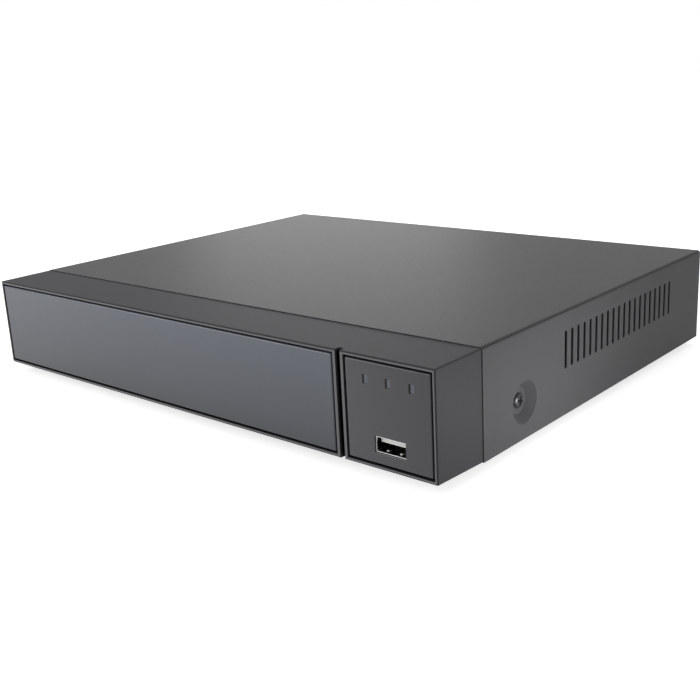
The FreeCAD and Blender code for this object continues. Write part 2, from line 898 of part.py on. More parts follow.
def make_usb_sockets():
    """Type A data sockets lying along Y, one behind the front plate and one at the rear."""
    parts = SubPart("usb_shells"), SubPart("usb_insulators"), SubPart("usb_contacts")
    usb_socket(*parts, indicator_x, front + s.usb_recess, 1, usb_level)
    usb_socket(*parts, rear_usb_x, tray_back + s.socket_reach, -1, usb_rear_z)


def usb_socket(shell, insulator, contacts, x, mouth, inward, z):
    """Folded shell, insulator with its tongue, and four contacts under the tongue."""
    def span(near, far):
        ends = mouth + near * inward, mouth + far * inward
        return ends if inward > 0 else ends[::-1]

    inner_width, inner_height = s.usb_inner_width, s.usb_inner_height
    outer = centred(x, z, inner_width + s.usb_sheet * 2, inner_height + s.usb_sheet * 2)
    shell.pad("XZ", *span(0, s.usb_length), outer, centred(x, z, inner_width, inner_height))
    ground = z - inner_height / 2
    spring_y = mouth + inward * s.usb_spring_set_back
    for side in (-1, 1):
        shell.turn("Z", (x + side * s.usb_spring_spread / 2, spring_y, 0), [
            (ground - s.usb_sheet, 0), (ground - s.usb_sheet, s.usb_spring / 2), (ground, s.usb_spring / 2),
            (ground + s.usb_spring_rise, s.usb_spring / 4), (ground + s.usb_spring_rise, 0)])
    block = s.usb_length - s.usb_block
    insulator.pad("XZ", *span(block, s.usb_length), centred(x, z, inner_width, inner_height))
    tongue_top = z + inner_height / 2 - s.tongue_gap
    tongue_low = tongue_top - s.tongue_height
    half_tongue = s.tongue_width / 2
    insulator.pad("XZ", *span(s.tongue_recess, block),
                  rect(x - half_tongue, tongue_low, x + half_tongue, tongue_top))
    fingers = [
        centred(x + s.finger_pitch * step, tongue_low - s.finger_height / 2, s.finger_width, s.finger_height)
        for step in (-1.5, -0.5, 0.5, 1.5)
    ]
    contacts.pad("XZ", *span(s.tongue_recess + s.finger_width, block), *fingers)


# ---------------------------------------------------------------- folded sheet metal

# how much wider a dished wall is on its outer face, as a share of the sheet's thickness
FLANK_SHARE = 0.6

def make_top_cover():
    """Folded steel cover: top, two sides with slots and a screw dimple each, rear lip."""
    part = SubPart("top_cover")
    inside = half - s.cover_sheet
    ceiling = roof - s.cover_sheet
    start = bezel_back + s.seam_gap
    part.pad("XZ", start, back, polygon(
        (-half, floor), (-inside, floor), (-inside, ceiling), (inside, ceiling),
        (inside, floor), (half, floor), (half, roof), (-half, roof),
    ))
    lip = inside - s.cover_sheet
    part.pad("XZ", back - s.cover_sheet, back,
             rect(-lip, roof - s.lip_height, lip, ceiling + s.cover_sheet / 2))
    part.fillet(s.cover_bend, lambda edge: runs_along(edge, "y") and lies_at(edge, "z", roof))
    part.fillet(s.cover_bend - s.cover_sheet, lambda edge: lies_at(edge, "z", ceiling)
                and (lies_at(edge, "x", inside) or lies_at(edge, "x", -inside)))

    slot = part.cut("YZ", -half, half,
                    upright_slot(front + s.vent_start, roof - s.vent_drop, s.vent_width, s.vent_length))
    part.repeat([slot], "Y", s.vent_pitch, s.vent_count)

    mouth, ground = s.dimple_mouth / 2, s.dimple_floor / 2
    outside = s.cover_sheet * FLANK_SHARE
    bulges, bowls = [], []
    for side in (-1, 1):
        face, deep = half * side, tab_outside * side
        bulges.append([
            (face - s.cover_sheet * side, 0), (face - s.cover_sheet * side, mouth + outside),
            (deep, ground + outside), (deep, 0),
        ])
        inner = deep + s.cover_sheet * side
        bowls.append([(face, 0), (face, mouth), (inner, ground), (inner, 0)])
    part.turn("X", (0, dimple_y, dimple_z), *bulges)
    part.hollow("X", (0, dimple_y, dimple_z), *bowls)
    part.cut("YZ", -half, half, circle(dimple_y, dimple_z, s.thread_size + s.shank_room))
    part.cut("XZ", back - s.cover_sheet, back,
             *[circle(x, lip_z, s.thread_size + s.shank_room) for x in lip_places])

    side_seats = [(side * (tab_outside + s.cover_sheet), dimple_y, dimple_z, -side) for side in (-1, 1)]
    screws(SubPart("cover_side_screws"), "X", side_seats,
           s.side_head_size, s.side_head_height, s.side_screw_length)
    screws(SubPart("cover_rear_screws"), "Y", [(x, back, lip_z, -1) for x in lip_places])


def make_base_tray():
    """Folded steel tray: bottom, front wall, rear panel, side flanges, screw tabs, stand-offs."""
    part = SubPart("base_tray")
    part.pad("XY", floor, tray_floor, rect(-tray_half, tray_front, tray_half, tray_back))
    part.pad("XZ", tray_front, tray_front + s.tray_sheet,
             rect(-tray_half, floor, tray_half, roof - s.front_wall_drop))
    part.pad("XZ", wall_inside, tray_back,
             rect(-tray_half, floor, tray_half, roof - s.cover_sheet - s.sheet_fit))
    for outer in (-tray_half, tray_half - s.tray_sheet):
        part.pad("YZ", outer, outer + s.tray_sheet,
                 rect(front + s.tray_flange_start, floor, tray_back, floor + s.tray_flange))
    tab_y0, tab_y1 = dimple_y - s.tab_width / 2, dimple_y + s.tab_width / 2
    relief = s.tray_sheet
    part.cut("XY", floor, tray_floor,
             rect(-tray_half, tab_y0 - relief, -tab_outside, tab_y1 + relief),
             rect(tab_outside, tab_y0 - relief, tray_half, tab_y1 + relief))
    for outer in (-tab_outside, tab_outside - s.tray_sheet):
        part.pad("YZ", outer, outer + s.tray_sheet, rect(tab_y0, floor, tab_y1, floor + s.tab_height))
    part.cut("YZ", -tab_outside, tab_outside, circle(dimple_y, dimple_z, s.thread_size + s.thread_room))

    window_low = tray_floor + s.tray_flange
    window_high = roof - s.front_wall_drop - s.tray_flange / 2
    openings = []
    for left, right in zip(boss_places, boss_places[1:]):
        openings.append(rounded_rect(left + s.bezel_boss, window_low,
                                     right - s.bezel_boss, window_high, s.bezel_wall))
    part.cut("XZ", tray_front, tray_front + s.tray_sheet, *openings)
    part.cut("XZ", tray_front, tray_front + s.tray_sheet,
             *[circle(x, boss_level, s.thread_size + s.shank_room) for x in boss_places])

    for x, y in disk_holes:
        slope = s.tray_sheet * FLANK_SHARE
        part.turn("Z", (x, y, 0), [
            (tray_floor, 0), (disk_z0, 0), (disk_z0, s.emboss_top / 2), (tray_floor, s.emboss_foot / 2)])
        part.hollow("Z", (x, y, 0), [
            (floor, 0), (disk_z0 - s.tray_sheet, 0), (disk_z0 - s.tray_sheet, s.emboss_top / 2 - slope),
            (floor, s.emboss_foot / 2 - slope)])
    part.cut("XY", disk_z0 - s.tray_sheet, disk_z0,
             *[circle(x, y, s.disk_screw + s.shank_room) for x, y in disk_holes])

    part.pad("XY", tray_floor, board_z0, *[circle(x, y, s.stand_size) for x, y in stand_places])
    part.cut("XY", floor, board_z0, *[circle(x, y, s.thread_size + s.thread_room) for x, y in stand_places])

    part.cut("XZ", wall_inside, tray_back, *rear_panel_holes())
    part.cut("XZ", wall_inside, tray_back,
             *[circle(x, lip_z, s.thread_size + s.thread_room) for x in lip_places])


def rear_panel_holes():
    """One opening in the rear panel for each connector, larger by the same room all round."""
    room = s.wall_room * 2
    holes = [circle(x, bnc_z, s.bnc_bushing + room) for x in bnc_places]
    holes += [circle(audio_x, z, s.audio_sleeve + s.audio_collar * 2 + room) for z in audio_levels]
    holes.append(centred(video_x, video_z, s.video_shroud + room, s.video_shroud_height + room))
    holes += [circle(video_x + side * s.video_screw_span / 2, video_z, s.thread_size + room)
              for side in (-1, 1)]
    holes.append(centred(hdmi_x, hdmi_z, s.hdmi_width + room, s.hdmi_height + room))
    holes.append(centred(network_x, board_z1 + s.network_height / 2,
                         s.network_width + room, s.network_height + room))
    holes.append(centred(rear_usb_x, usb_rear_z, s.usb_inner_width + s.usb_sheet * 2 + room,
                         s.usb_inner_height + s.usb_sheet * 2 + room))
    holes.append(circle(power_x, power_z, s.power_bore + s.tray_sheet * 2 + room))
    return holes


def make_feet():
    feet = SubPart("rubber_feet")
    for x, y in foot_places:
        feet.turn("Z", (x, y, 0), [(0, 0), (floor, 0), (floor, s.foot_top / 2), (0, s.foot_bottom / 2)])
        feet.hollow("Z", (x, y, 0), [(0, 0), (s.foot_dish, 0), (0, s.foot_bottom / 3)])


# ---------------------------------------------------------------- hard disk drive

HALF_TURN = 180

def make_disk_casting():
    """Cast aluminium base: bowl for the platters, pocket for the arm, rails for the mount screws."""
    base = SubPart("disk_base_casting")
    base.pad("XY", disk_z0, disk_rim, rounded_rect(disk_x0, disk_y0, disk_x1, disk_y1, s.disk_corner))
    rail = s.disk_board_rail
    base.cut("XY", disk_z0, disk_floor_z, rect(disk_x0 + rail, disk_y0 + rail, disk_x1, disk_y1 - rail))
    base.cut("XY", disk_deck, disk_rim, circle(spindle_x, disk_mid, s.platter_size + s.disk_bowl_room * 2))
    base.cut("XY", disk_deck, disk_rim,
             rounded_rect(spindle_x, disk_y0 + s.disk_wall, disk_x1 - s.disk_end_wall, disk_y1 - s.disk_wall,
                          s.disk_corner))
    base.pad("XY", disk_deck, platter_low - s.running_room, circle(spindle_x, disk_mid, s.hub_size))
    base.pad("XY", disk_deck, platter_top + s.clamp_height * 2, circle(spindle_x, disk_mid, s.spindle_post))
    base.pad("XY", disk_deck, arm_top + s.clamp_height, circle(pivot_x, pivot_y, s.pivot_post))
    base.cut("XY", disk_z0, disk_floor_z,
             *[circle(x, y, s.disk_screw + s.thread_room) for x, y in disk_holes])
    posts = disk_board_screw_places()
    base.pad("XY", disk_board_z1, disk_floor_z, *[circle(x, y, s.disk_board_post) for x, y in posts])
    base.cut("XY", disk_board_z1, disk_floor_z,
             *[circle(x, y, s.disk_board_screw + s.thread_room) for x, y in posts])

    lid = SubPart("disk_lid")
    lid.pad("XY", disk_rim, disk_z1, rounded_rect(disk_x0, disk_y0, disk_x1, disk_y1, s.disk_corner))
    lid.cut("XY", disk_z1 - s.disk_lid_step, disk_z1,
            circle(spindle_x, disk_mid, s.platter_size - s.disk_lid_border * 2))
    lid.cut("XY", disk_z1 - s.disk_lid_step, disk_z1,
            rounded_rect(pivot_x - s.pivot_sleeve, pivot_y - s.coil_reach, disk_x1 - s.disk_end_wall,
                         disk_y1 - s.disk_end_wall, s.disk_corner))


def disk_board_screw_places():
    board_x0 = disk_x1 - s.disk_board_length
    near_y = disk_y0 + s.disk_board_rail + s.disk_board_inset
    far_y = disk_y1 - s.disk_board_rail - s.disk_board_inset
    return [(x, y) for x in (board_x0 + s.disk_board_inset, disk_x1 - s.disk_board_inset * 3)
            for y in (near_y, far_y)]


def make_disk_electronics():
    room = s.sheet_fit
    board = SubPart("disk_circuit_board")
    holes = [circle(x, y, s.disk_board_screw + s.shank_room) for x, y in disk_board_screw_places()]
    board.pad("XY", disk_board_z0, disk_board_z1,
              rect(disk_x1 - s.disk_board_length, disk_y0 + s.disk_board_rail + room,
                   disk_x1 - s.disk_wall / 2, disk_y1 - s.disk_board_rail - room), *holes)
    plug = SubPart("disk_connector")
    plug.pad("XY", disk_board_z1, disk_board_z1 + s.plug_height,
             centred(disk_x1 - s.plug_depth / 2, disk_plug_y, s.plug_depth, s.plug_width))


def make_disk_mechanism():
    """Platters on a hub that turns on the spindle post, and the arm that swings on its own post."""
    platters = SubPart("disk_platters")
    bore = s.spindle_post + s.running_room * 2
    first = platters.pad("XY", platter_low, platter_low + s.platter_sheet,
                         circle(spindle_x, disk_mid, s.platter_size), circle(spindle_x, disk_mid, bore))
    platters.repeat([first], "Z", platter_pitch, s.platter_count)
    platters.pad("XY", platter_low, platter_top + s.clamp_height,
                 circle(spindle_x, disk_mid, s.hub_size), circle(spindle_x, disk_mid, bore))

    arm = SubPart("disk_arm")
    bore = s.pivot_post + s.running_room * 2
    along = (cosine(s.arm_parked), sine(s.arm_parked))
    beside = (-along[1], along[0])

    def from_pivot(ahead, aside):
        return (pivot_x + ahead * along[0] + aside * beside[0],
                pivot_y + ahead * along[1] + aside * beside[1])

    blade = arm.pad("XY", arm_low, arm_low + s.arm_sheet, polygon(
        from_pivot(as_size(0), -s.arm_root / 2), from_pivot(arm_reach, -s.arm_tip / 2),
        from_pivot(arm_reach, s.arm_tip / 2), from_pivot(as_size(0), s.arm_root / 2)))
    arm.repeat([blade], "Z", platter_pitch, s.platter_count + 1)
    arm.pad("XY", disk_deck + s.running_room, arm_top, circle(pivot_x, pivot_y, s.pivot_sleeve))
    coil_z = (arm_low + arm_top) / 2 - s.coil_height / 2
    tail = s.arm_parked + HALF_TURN
    inside = s.pivot_sleeve / 2
    arm.pad("XY", coil_z, coil_z + s.coil_height,
            sector(pivot_x, pivot_y, inside - s.clamp_height, s.coil_reach,
                   tail - s.coil_spread, tail + s.coil_spread),
            sector(pivot_x, pivot_y, inside + s.coil_band, s.coil_reach - s.coil_band,
                   tail - s.coil_spread / 2, tail + s.coil_spread / 2))
    arm.cut("XY", disk_deck + s.running_room, arm_top, circle(pivot_x, pivot_y, bore))

    magnet = SubPart("disk_magnet_yoke")
    lower = coil_z - s.magnet_room
    upper = coil_z + s.coil_height + s.magnet_room
    start, end = tail - s.magnet_behind, tail + s.magnet_ahead
    magnet.pad("XY", disk_deck, upper + s.magnet_sheet,
               sector(pivot_x, pivot_y, s.magnet_inner, s.magnet_outer, start, end))
    magnet.cut("XY", lower, upper,
               sector(pivot_x, pivot_y, s.magnet_inner - s.magnet_room, s.coil_reach + s.magnet_room,
                      start - s.magnet_gap_angle, end + s.magnet_gap_angle))


# ---------------------------------------------------------------- main circuit board

def make_main_board():
    board = SubPart("main_board")
    holes = [circle(x, y, s.thread_size + s.shank_room) for x, y in stand_places]
    board.pad("XY", board_z0, board_z1, rect(-board_half, board_y0, board_half, board_y1), *holes)

    chip_y = board_y0 + s.chip_inset
    chip = SubPart("processor")
    chip.pad("XY", board_z1, board_z1 + s.chip_height,
             centred(s.chip_place, chip_y, s.chip_size, s.chip_size))
    sink = SubPart("heat_sink")
    sink_z = board_z1 + s.chip_height
    sink.pad("XY", sink_z, sink_z + s.sink_base, centred(s.chip_place, chip_y, s.sink_size, s.sink_size))
    left = s.chip_place - s.sink_size / 2
    fin = sink.pad("XY", sink_z + s.sink_base / 2, sink_z + s.sink_base + s.fin_height,
                   rect(left, chip_y - s.sink_size / 2, left + s.fin_width, chip_y + s.sink_size / 2))
    sink.repeat([fin], "X", (s.sink_size - s.fin_width) / (s.fin_count - 1), s.fin_count)

    memory = SubPart("memory_chips")
    memory.pad("XY", board_z1, board_z1 + s.memory_height,
               *[centred(s.chip_place + x, chip_y + y, s.memory_width, s.memory_length)
                 for x in (-s.memory_spread, s.memory_spread) for y in (-s.memory_step, s.memory_step)])
    coils = SubPart("power_inductors")
    coil_row = [coil_row_x + s.coil_row_pitch * index for index in range(SIZES["coil_count"])]
    coils.pad("XY", board_z1, board_z1 + s.inductor_height,
              *[rounded_rect(x - s.inductor_size / 2, first_row - s.inductor_size / 2,
                             x + s.inductor_size / 2, first_row + s.inductor_size / 2,
                             s.inductor_corner) for x in coil_row])
    cans = SubPart("electrolytic_capacitors")
    can = cans.pad("XY", board_z1, board_z1 + s.can_height,
                   circle(coil_row_x, second_row, s.can_size))
    cans.repeat([can], "X", s.can_pitch, s.can_count)
    buzzer = SubPart("alarm_buzzer")
    buzzer_place = (coil_row[-1] + s.buzzer_gap, first_row)
    buzzer.pad("XY", board_z1, board_z1 + s.buzzer_height, circle(*buzzer_place, s.buzzer_size))
    buzzer.cut("XY", board_z1 + s.buzzer_height / 2, board_z1 + s.buzzer_height,
               circle(*buzzer_place, s.buzzer_hole))

    cell_place = (board_half - s.cell_inset, board_y0 + s.cell_row)
    holder = SubPart("clock_cell_holder")
    holder.pad("XY", board_z1, board_z1 + s.holder_base + s.cell_height,
               circle(*cell_place, s.cell_size + s.holder_wall * 2))
    holder.cut("XY", board_z1 + s.holder_base, board_z1 + s.holder_base + s.cell_height,
               circle(*cell_place, s.cell_size + s.sheet_fit))
    cell = SubPart("clock_cell")
    cell.pad("XY", board_z1 + s.holder_base, board_z1 + s.holder_base + s.cell_height,
             circle(*cell_place, s.cell_size))
    headers = SubPart("board_headers")
    headers.pad("XY", board_z1, board_z1 + s.header_height,
                *[rect(x - s.header_width / 2, board_y0, x + s.header_width / 2, board_y0 + s.header_length)
                  for x in (data_x, feed_x, panel_x)])
    headers.pad("XY", board_z1, board_z1 + s.header_height,
                rect(fan_lead_x - s.fan_header / 2, board_y0,
                     fan_lead_x + s.fan_header / 2, board_y0 + s.fan_header))
    headers.pad("XZ", front_header_y - s.plug_length, front_header_y,
                centred(indicator_x, front_header_z, s.header_width, s.header_height))


# ---------------------------------------------------------------- rear connectors

HEXAGON_SIDES = 6
HEXAGON_TURN = 360 / HEXAGON_SIDES


def make_video_inputs():
    """Bayonet video sockets: block on the board, metal barrel with lugs, insulator, contact."""
    blocks = SubPart("bnc_blocks")
    face = socket_face
    blocks.pad("XZ", face - s.bnc_body_depth, face,
               *[centred(x, bnc_z - (s.bnc_level - s.bnc_body / 2) / 2, s.bnc_body,
                         s.bnc_level + s.bnc_body / 2) for x in bnc_places])
    barrel = SubPart("bnc_barrels")
    shoulder = tray_back + s.bnc_bushing_length
    tip = back + s.connector_reach
    pitch = -s.bnc_pitch
    shell = barrel.turn("Y", (bnc_first, 0, bnc_z), [
        (face, s.bnc_bore / 2), (face, s.bnc_bushing / 2), (shoulder, s.bnc_bushing / 2),
        (shoulder, s.bnc_barrel / 2), (tip, s.bnc_barrel / 2), (tip, s.bnc_bore / 2)])
    lug_y = tip - s.bnc_lug * 2
    reach = s.bnc_barrel / 2 + s.bnc_lug_reach
    lugs = barrel.pad("XY", bnc_z - reach, bnc_z + reach, circle(bnc_first, lug_y, s.bnc_lug))
    bore = barrel.hollow("Y", (bnc_first, 0, bnc_z), [
        (face, 0), (face, s.bnc_bore / 2), (tip, s.bnc_bore / 2), (tip, 0)])
    barrel.repeat([shell, lugs, bore], "X", pitch, s.bnc_count)

    insulator = SubPart("bnc_insulators")
    pin_room = s.bnc_contact / 2
    sleeve = insulator.turn("Y", (bnc_first, 0, bnc_z), [
        (face, pin_room), (face, s.bnc_bore / 2), (shoulder, s.bnc_bore / 2), (shoulder, s.bnc_core / 2),
        (tip - s.bnc_core_set_back, s.bnc_core / 2), (tip - s.bnc_core_set_back, pin_room)])
    insulator.repeat([sleeve], "X", pitch, s.bnc_count)
    contact = SubPart("bnc_contacts")
    end = tip - s.bnc_core_set_back
    socket = contact.turn("Y", (bnc_first, 0, bnc_z), [
        (face, 0), (face, pin_room), (end, pin_room), (end, s.bnc_contact_bore / 2),
        (shoulder, s.bnc_contact_bore / 2), (shoulder, 0)])
    contact.repeat([socket], "X", pitch, s.bnc_count)


def make_audio_jacks():
    """Two phono sockets, one above the other: block with a collar each, metal sleeve, core."""
    face = socket_face
    top = audio_levels[1] + s.audio_block / 2
    tip = tray_back + s.audio_reach
    shoulder = tray_back + s.audio_collar
    block = SubPart("audio_jack_block")
    block.pad("XZ", face - s.audio_depth, face,
              rect(audio_x - s.audio_block / 2, board_z1, audio_x + s.audio_block / 2, top))
    block.pad("XZ", face, shoulder,
              *[circle(audio_x, z, s.audio_sleeve + s.audio_collar * 2) for z in audio_levels])
    sleeves = SubPart("audio_jack_sleeves")
    cores = SubPart("audio_jack_insulators")
    for z in audio_levels:
        wall = s.audio_sleeve / 2 - s.audio_wall
        sleeves.turn("Y", (audio_x, 0, z), [
            (shoulder, wall), (shoulder, s.audio_sleeve / 2), (tip, s.audio_sleeve / 2), (tip, wall)])
        cores.turn("Y", (audio_x, 0, z), [
            (shoulder, 0), (shoulder, wall), (tip, wall), (tip, s.audio_bore / 2),
            (shoulder + s.audio_wall, s.audio_bore / 2), (shoulder + s.audio_wall, 0)])


def make_monitor_socket():
    """Fifteen-way monitor socket: bracket block, metal shroud, insert with its holes, jack screws."""
    face = socket_face
    x, z = video_x, video_z
    block = SubPart("monitor_socket_block")
    block.pad("XZ", face - s.video_depth, face, centred(x, z, s.video_flange, s.video_flange_height))
    tip = tray_back + s.video_reach
    half_wide, half_high = s.video_shroud / 2, s.video_shroud_height / 2
    lean = s.video_lean
    ring = SubPart("monitor_socket_shroud")

    def dee(inset):
        wide, high = half_wide - inset, half_high - inset
        return rounded([(x - wide + lean + s.video_corner, z - high + s.video_corner),
                        (x + wide - lean - s.video_corner, z - high + s.video_corner),
                        (x + wide - s.video_corner, z + high - s.video_corner),
                        (x - wide + s.video_corner, z + high - s.video_corner)], s.video_corner)

    ring.pad("XZ", face, tip, dee(0), dee(s.video_sheet))
    insert = SubPart("monitor_socket_insert")
    insert.pad("XZ", face, tip, dee(s.video_sheet + s.video_slip))
    pins = []
    for row in (-1, 0, 1):
        for column in (-2, -1, 0, 1, 2):
            shift = row * s.video_pin_pitch / 4
            pin_x = x + s.video_pin_pitch * column + shift
            pins.append(circle(pin_x, z + s.video_row_pitch * row, s.video_pin))
    insert.cut("XZ", tray_back, tip, *pins)
    nuts = SubPart("monitor_jack_screws")
    for side in (-1, 1):
        centre = x + side * s.video_screw_span / 2
        corner = s.jack_hex / 2 / cosine(HEXAGON_TURN / 2)
        points = [(centre + corner * cosine(HEXAGON_TURN * k), z + corner * sine(HEXAGON_TURN * k))
                  for k in range(HEXAGON_SIDES)]
        nuts.pad("XZ", tray_back, tip - s.tray_sheet, polygon(*points))
        nuts.pad("XZ", face, tray_back, circle(centre, z, s.thread_size))
        nuts.cut("XZ", tray_back, tip - s.tray_sheet, circle(centre, z, s.thread_size - s.shank_room))


def make_hdmi_socket():
    x, z = hdmi_x, hdmi_z
    width, height, wall = s.hdmi_width, s.hdmi_height, s.hdmi_sheet
    tip = tray_back + s.socket_reach

    def trapezoid(inset):
        wide, high, cut = width / 2 - inset, height / 2 - inset, s.hdmi_cut
        return polygon((x - wide + cut, z - high), (x + wide - cut, z - high), (x + wide, z - high + cut),
                       (x + wide, z + high), (x - wide, z + high), (x - wide, z - high + cut))

    shell = SubPart("hdmi_shell")
    shell.pad("XZ", tip - s.hdmi_depth, tip, trapezoid(as_size(0)), trapezoid(wall))
    tongue = SubPart("hdmi_tongue")
    back_block = tip - s.hdmi_depth + s.usb_block
    tongue.pad("XZ", tip - s.hdmi_depth, back_block, trapezoid(wall))
    tongue.pad("XZ", back_block, tip - s.tongue_recess,
               centred(x, z, s.hdmi_tongue, s.tongue_height / 2))


def make_network_socket():
    """Eight-way network socket: housing with its stepped mouth, eight sprung contacts."""
    x = network_x
    tip = tray_back + s.socket_reach
    housing = SubPart("network_socket")
    low, high = board_z1, board_z1 + s.network_height
    housing.pad("XZ", tip - s.network_depth, tip,
                centred(x, (low + high) / 2, s.network_width, s.network_height))
    mouth_low = low + s.network_mouth_level
    mouth_high = mouth_low + s.network_mouth_height
    housing.cut("XZ", tip - s.network_mouth_depth, tip,
                rect(x - s.network_mouth / 2, mouth_low, x + s.network_mouth / 2, mouth_high))
    housing.cut("XZ", tip - s.network_mouth_depth, tip,
                rect(x - s.latch_width / 2, mouth_low - s.latch_depth, x + s.latch_width / 2, mouth_low))
    contacts = SubPart("network_contacts")
    inner = tip - s.network_mouth_depth
    ways = SIZES["network_ways"]
    places = [x + s.network_pitch * (index - (ways - 1) / 2) for index in range(ways)]
    contacts.pad("XZ", inner, tip - s.network_contact_set_back,
                 *[centred(place, mouth_high - s.finger_height, s.network_wire, s.finger_height * 2)
                   for place in places])


def make_power_jack():
    x, z = power_x, power_z
    face = socket_face
    tip = tray_back + s.socket_reach
    collar = s.power_bore + s.tray_sheet * 2
    body = SubPart("power_jack")
    body.pad("XZ", face - s.power_depth, face, centred(x, z, s.power_body, s.power_body))
    body.pad("XZ", face, tip, circle(x, z, collar))
    body.cut("XZ", tip - s.power_bore_depth, tip, circle(x, z, s.power_bore))
    pin = SubPart("power_jack_pin")
    root = tip - s.power_bore_depth
    pin.turn("Y", (x, 0, z), [
        (root, 0), (root, s.power_pin / 2), (tip - s.guide_bar, s.power_pin / 2),
        (tip - s.guide_bar / 2, s.power_pin / 4), (tip - s.guide_bar / 2, 0)])


# ---------------------------------------------------------------- cooling fan

def make_fan():
    """Small axial fan on a bracket behind the slots: frame with struts, rotor with twisted blades."""
    size, axle = s.fan_size, (0, fan_y, fan_z)
    corners = [(fan_y + side * s.fan_hole_span / 2, fan_z + level * s.fan_hole_span / 2)
               for side in (-1, 1) for level in (-1, 1)]
    frame = SubPart("fan_frame")
    reach = size / 2
    frame.pad("YZ", fan_x0, fan_x1,
              rounded_rect(fan_y - reach, fan_z - reach, fan_y + reach, fan_z + reach, s.fan_corner),
              circle(fan_y, fan_z, s.fan_bore))
    strut_end = fan_x0 + s.fan_strut
    strut = s.fan_strut / 2
    inner = s.fan_hub / 2 - strut
    outer = s.fan_bore / 2 + strut / 2
    frame.pad("YZ", fan_x0, strut_end, circle(fan_y, fan_z, s.fan_hub))
    frame.pad("YZ", fan_x0, strut_end,
              rect(fan_y - strut, fan_z + inner, fan_y + strut, fan_z + outer),
              rect(fan_y - strut, fan_z - outer, fan_y + strut, fan_z - inner),
              rect(fan_y + inner, fan_z - strut, fan_y + outer, fan_z + strut),
              rect(fan_y - outer, fan_z - strut, fan_y - inner, fan_z + strut))
    bearing_end = fan_x1 - s.fan_cap - s.fan_strut
    frame.pad("YZ", fan_x0, bearing_end, circle(fan_y, fan_z, s.fan_bearing))
    frame.cut("YZ", fan_x0, bearing_end, circle(fan_y, fan_z, s.fan_shaft + s.running_room * 2))
    frame.cut("YZ", fan_x0, fan_x1, *[circle(y, z, s.fan_hole) for y, z in corners])

    rotor = SubPart("fan_rotor")
    cap_end = fan_x1 - s.fan_cap
    hub_start = strut_end + s.fan_strut / 2
    hub_inner = s.fan_hub / 2 - s.fan_hub_wall
    rotor.turn("X", axle, [
        (fan_x0 + s.fan_strut / 2, 0), (fan_x0 + s.fan_strut / 2, s.fan_shaft / 2),
        (cap_end - s.fan_hub_wall, s.fan_shaft / 2), (cap_end - s.fan_hub_wall, hub_inner),
        (hub_start, hub_inner), (hub_start, s.fan_hub / 2), (cap_end, s.fan_hub / 2), (cap_end, 0)])
    blade_x = (hub_start + cap_end) / 2
    root_level = fan_z + s.fan_hub / 2 - s.fan_hub_wall / 2
    tip_level = fan_z + s.fan_bore / 2 - s.fan_tip_room * 2

    def section(angle):
        ahead = (cosine(angle) * s.blade_chord / 2, sine(angle) * s.blade_chord / 2)
        aside = (sine(angle) * s.blade_sheet / 2, -cosine(angle) * s.blade_sheet / 2)
        return polygon((blade_x - ahead[0] - aside[0], fan_y - ahead[1] - aside[1]),
                       (blade_x - ahead[0] + aside[0], fan_y - ahead[1] + aside[1]),
                       (blade_x + ahead[0] + aside[0], fan_y + ahead[1] + aside[1]),
                       (blade_x + ahead[0] - aside[0], fan_y + ahead[1] - aside[1]))

    blade = rotor.loft("XY", (root_level, section(s.blade_root_angle)),
                       (tip_level, section(s.blade_tip_angle)))
    axis_sketch = rotor.sketch("XZ", fan_y, [circle(0, 0, s.fan_shaft)], up=fan_z)
    wheel = rotor.feature("PartDesign::PolarPattern")
    wheel.Originals = [blade]
    wheel.Axis = (axis_sketch, ["H_Axis"])
    wheel.Angle = 360
    bind(wheel, "Occurrences", s.blade_count)
    rotor.body.Tip = wheel

    bracket = SubPart("fan_bracket")
    bracket_x0 = fan_x0 - s.bracket_sheet
    side = reach + s.bracket_sheet
    bracket.pad("YZ", bracket_x0, fan_x0,
                rect(fan_y - side, tray_floor, fan_y + side, fan_z + reach), circle(fan_y, fan_z, s.fan_bore))
    bracket.cut("YZ", bracket_x0, fan_x0, *[circle(y, z, s.fan_hole) for y, z in corners])
    foot_x0 = fan_x0 - s.bracket_foot
    bracket.pad("XY", tray_floor, tray_floor + s.bracket_sheet,
                rect(foot_x0, fan_y - side, fan_x0, fan_y + side))
    screws(SubPart("fan_screws"), "X", [(bracket_x0, y, z, 1) for y, z in corners],
           height=s.side_head_height, length=s.fan_depth)


# ---------------------------------------------------------------- screws held inside

def make_inner_screws():
    """The pan-head screws of the boards and the bezel, and the screws of the drive."""
    inner = SubPart("inner_screws")
    screws(inner, "Z", [(x, y, board_z1, -1) for x, y in stand_places])
    board_behind = board_face + s.board_thickness
    screws(inner, "Y", [(x, board_behind, front_screw_level, -1) for x in front_screw_places])
    screws(inner, "Y", [(x, tray_front + s.tray_sheet, boss_level, -1) for x in boss_places])
    drive = SubPart("disk_screws")
    screws(drive, "Z", [(x, y, disk_z0 - s.tray_sheet, 1) for x, y in disk_holes], thread=s.disk_screw)
    screws(drive, "Z", [(x, y, disk_board_z0, 1) for x, y in disk_board_screw_places()],
           s.disk_board_head, s.disk_board_head_height, s.disk_floor_level - s.disk_board_level,
           s.disk_board_screw)


# ---------------------------------------------------------------- cables held inside

# how much of the shorter run beside a corner its arc may take
CORNER_SHARE = 0.45

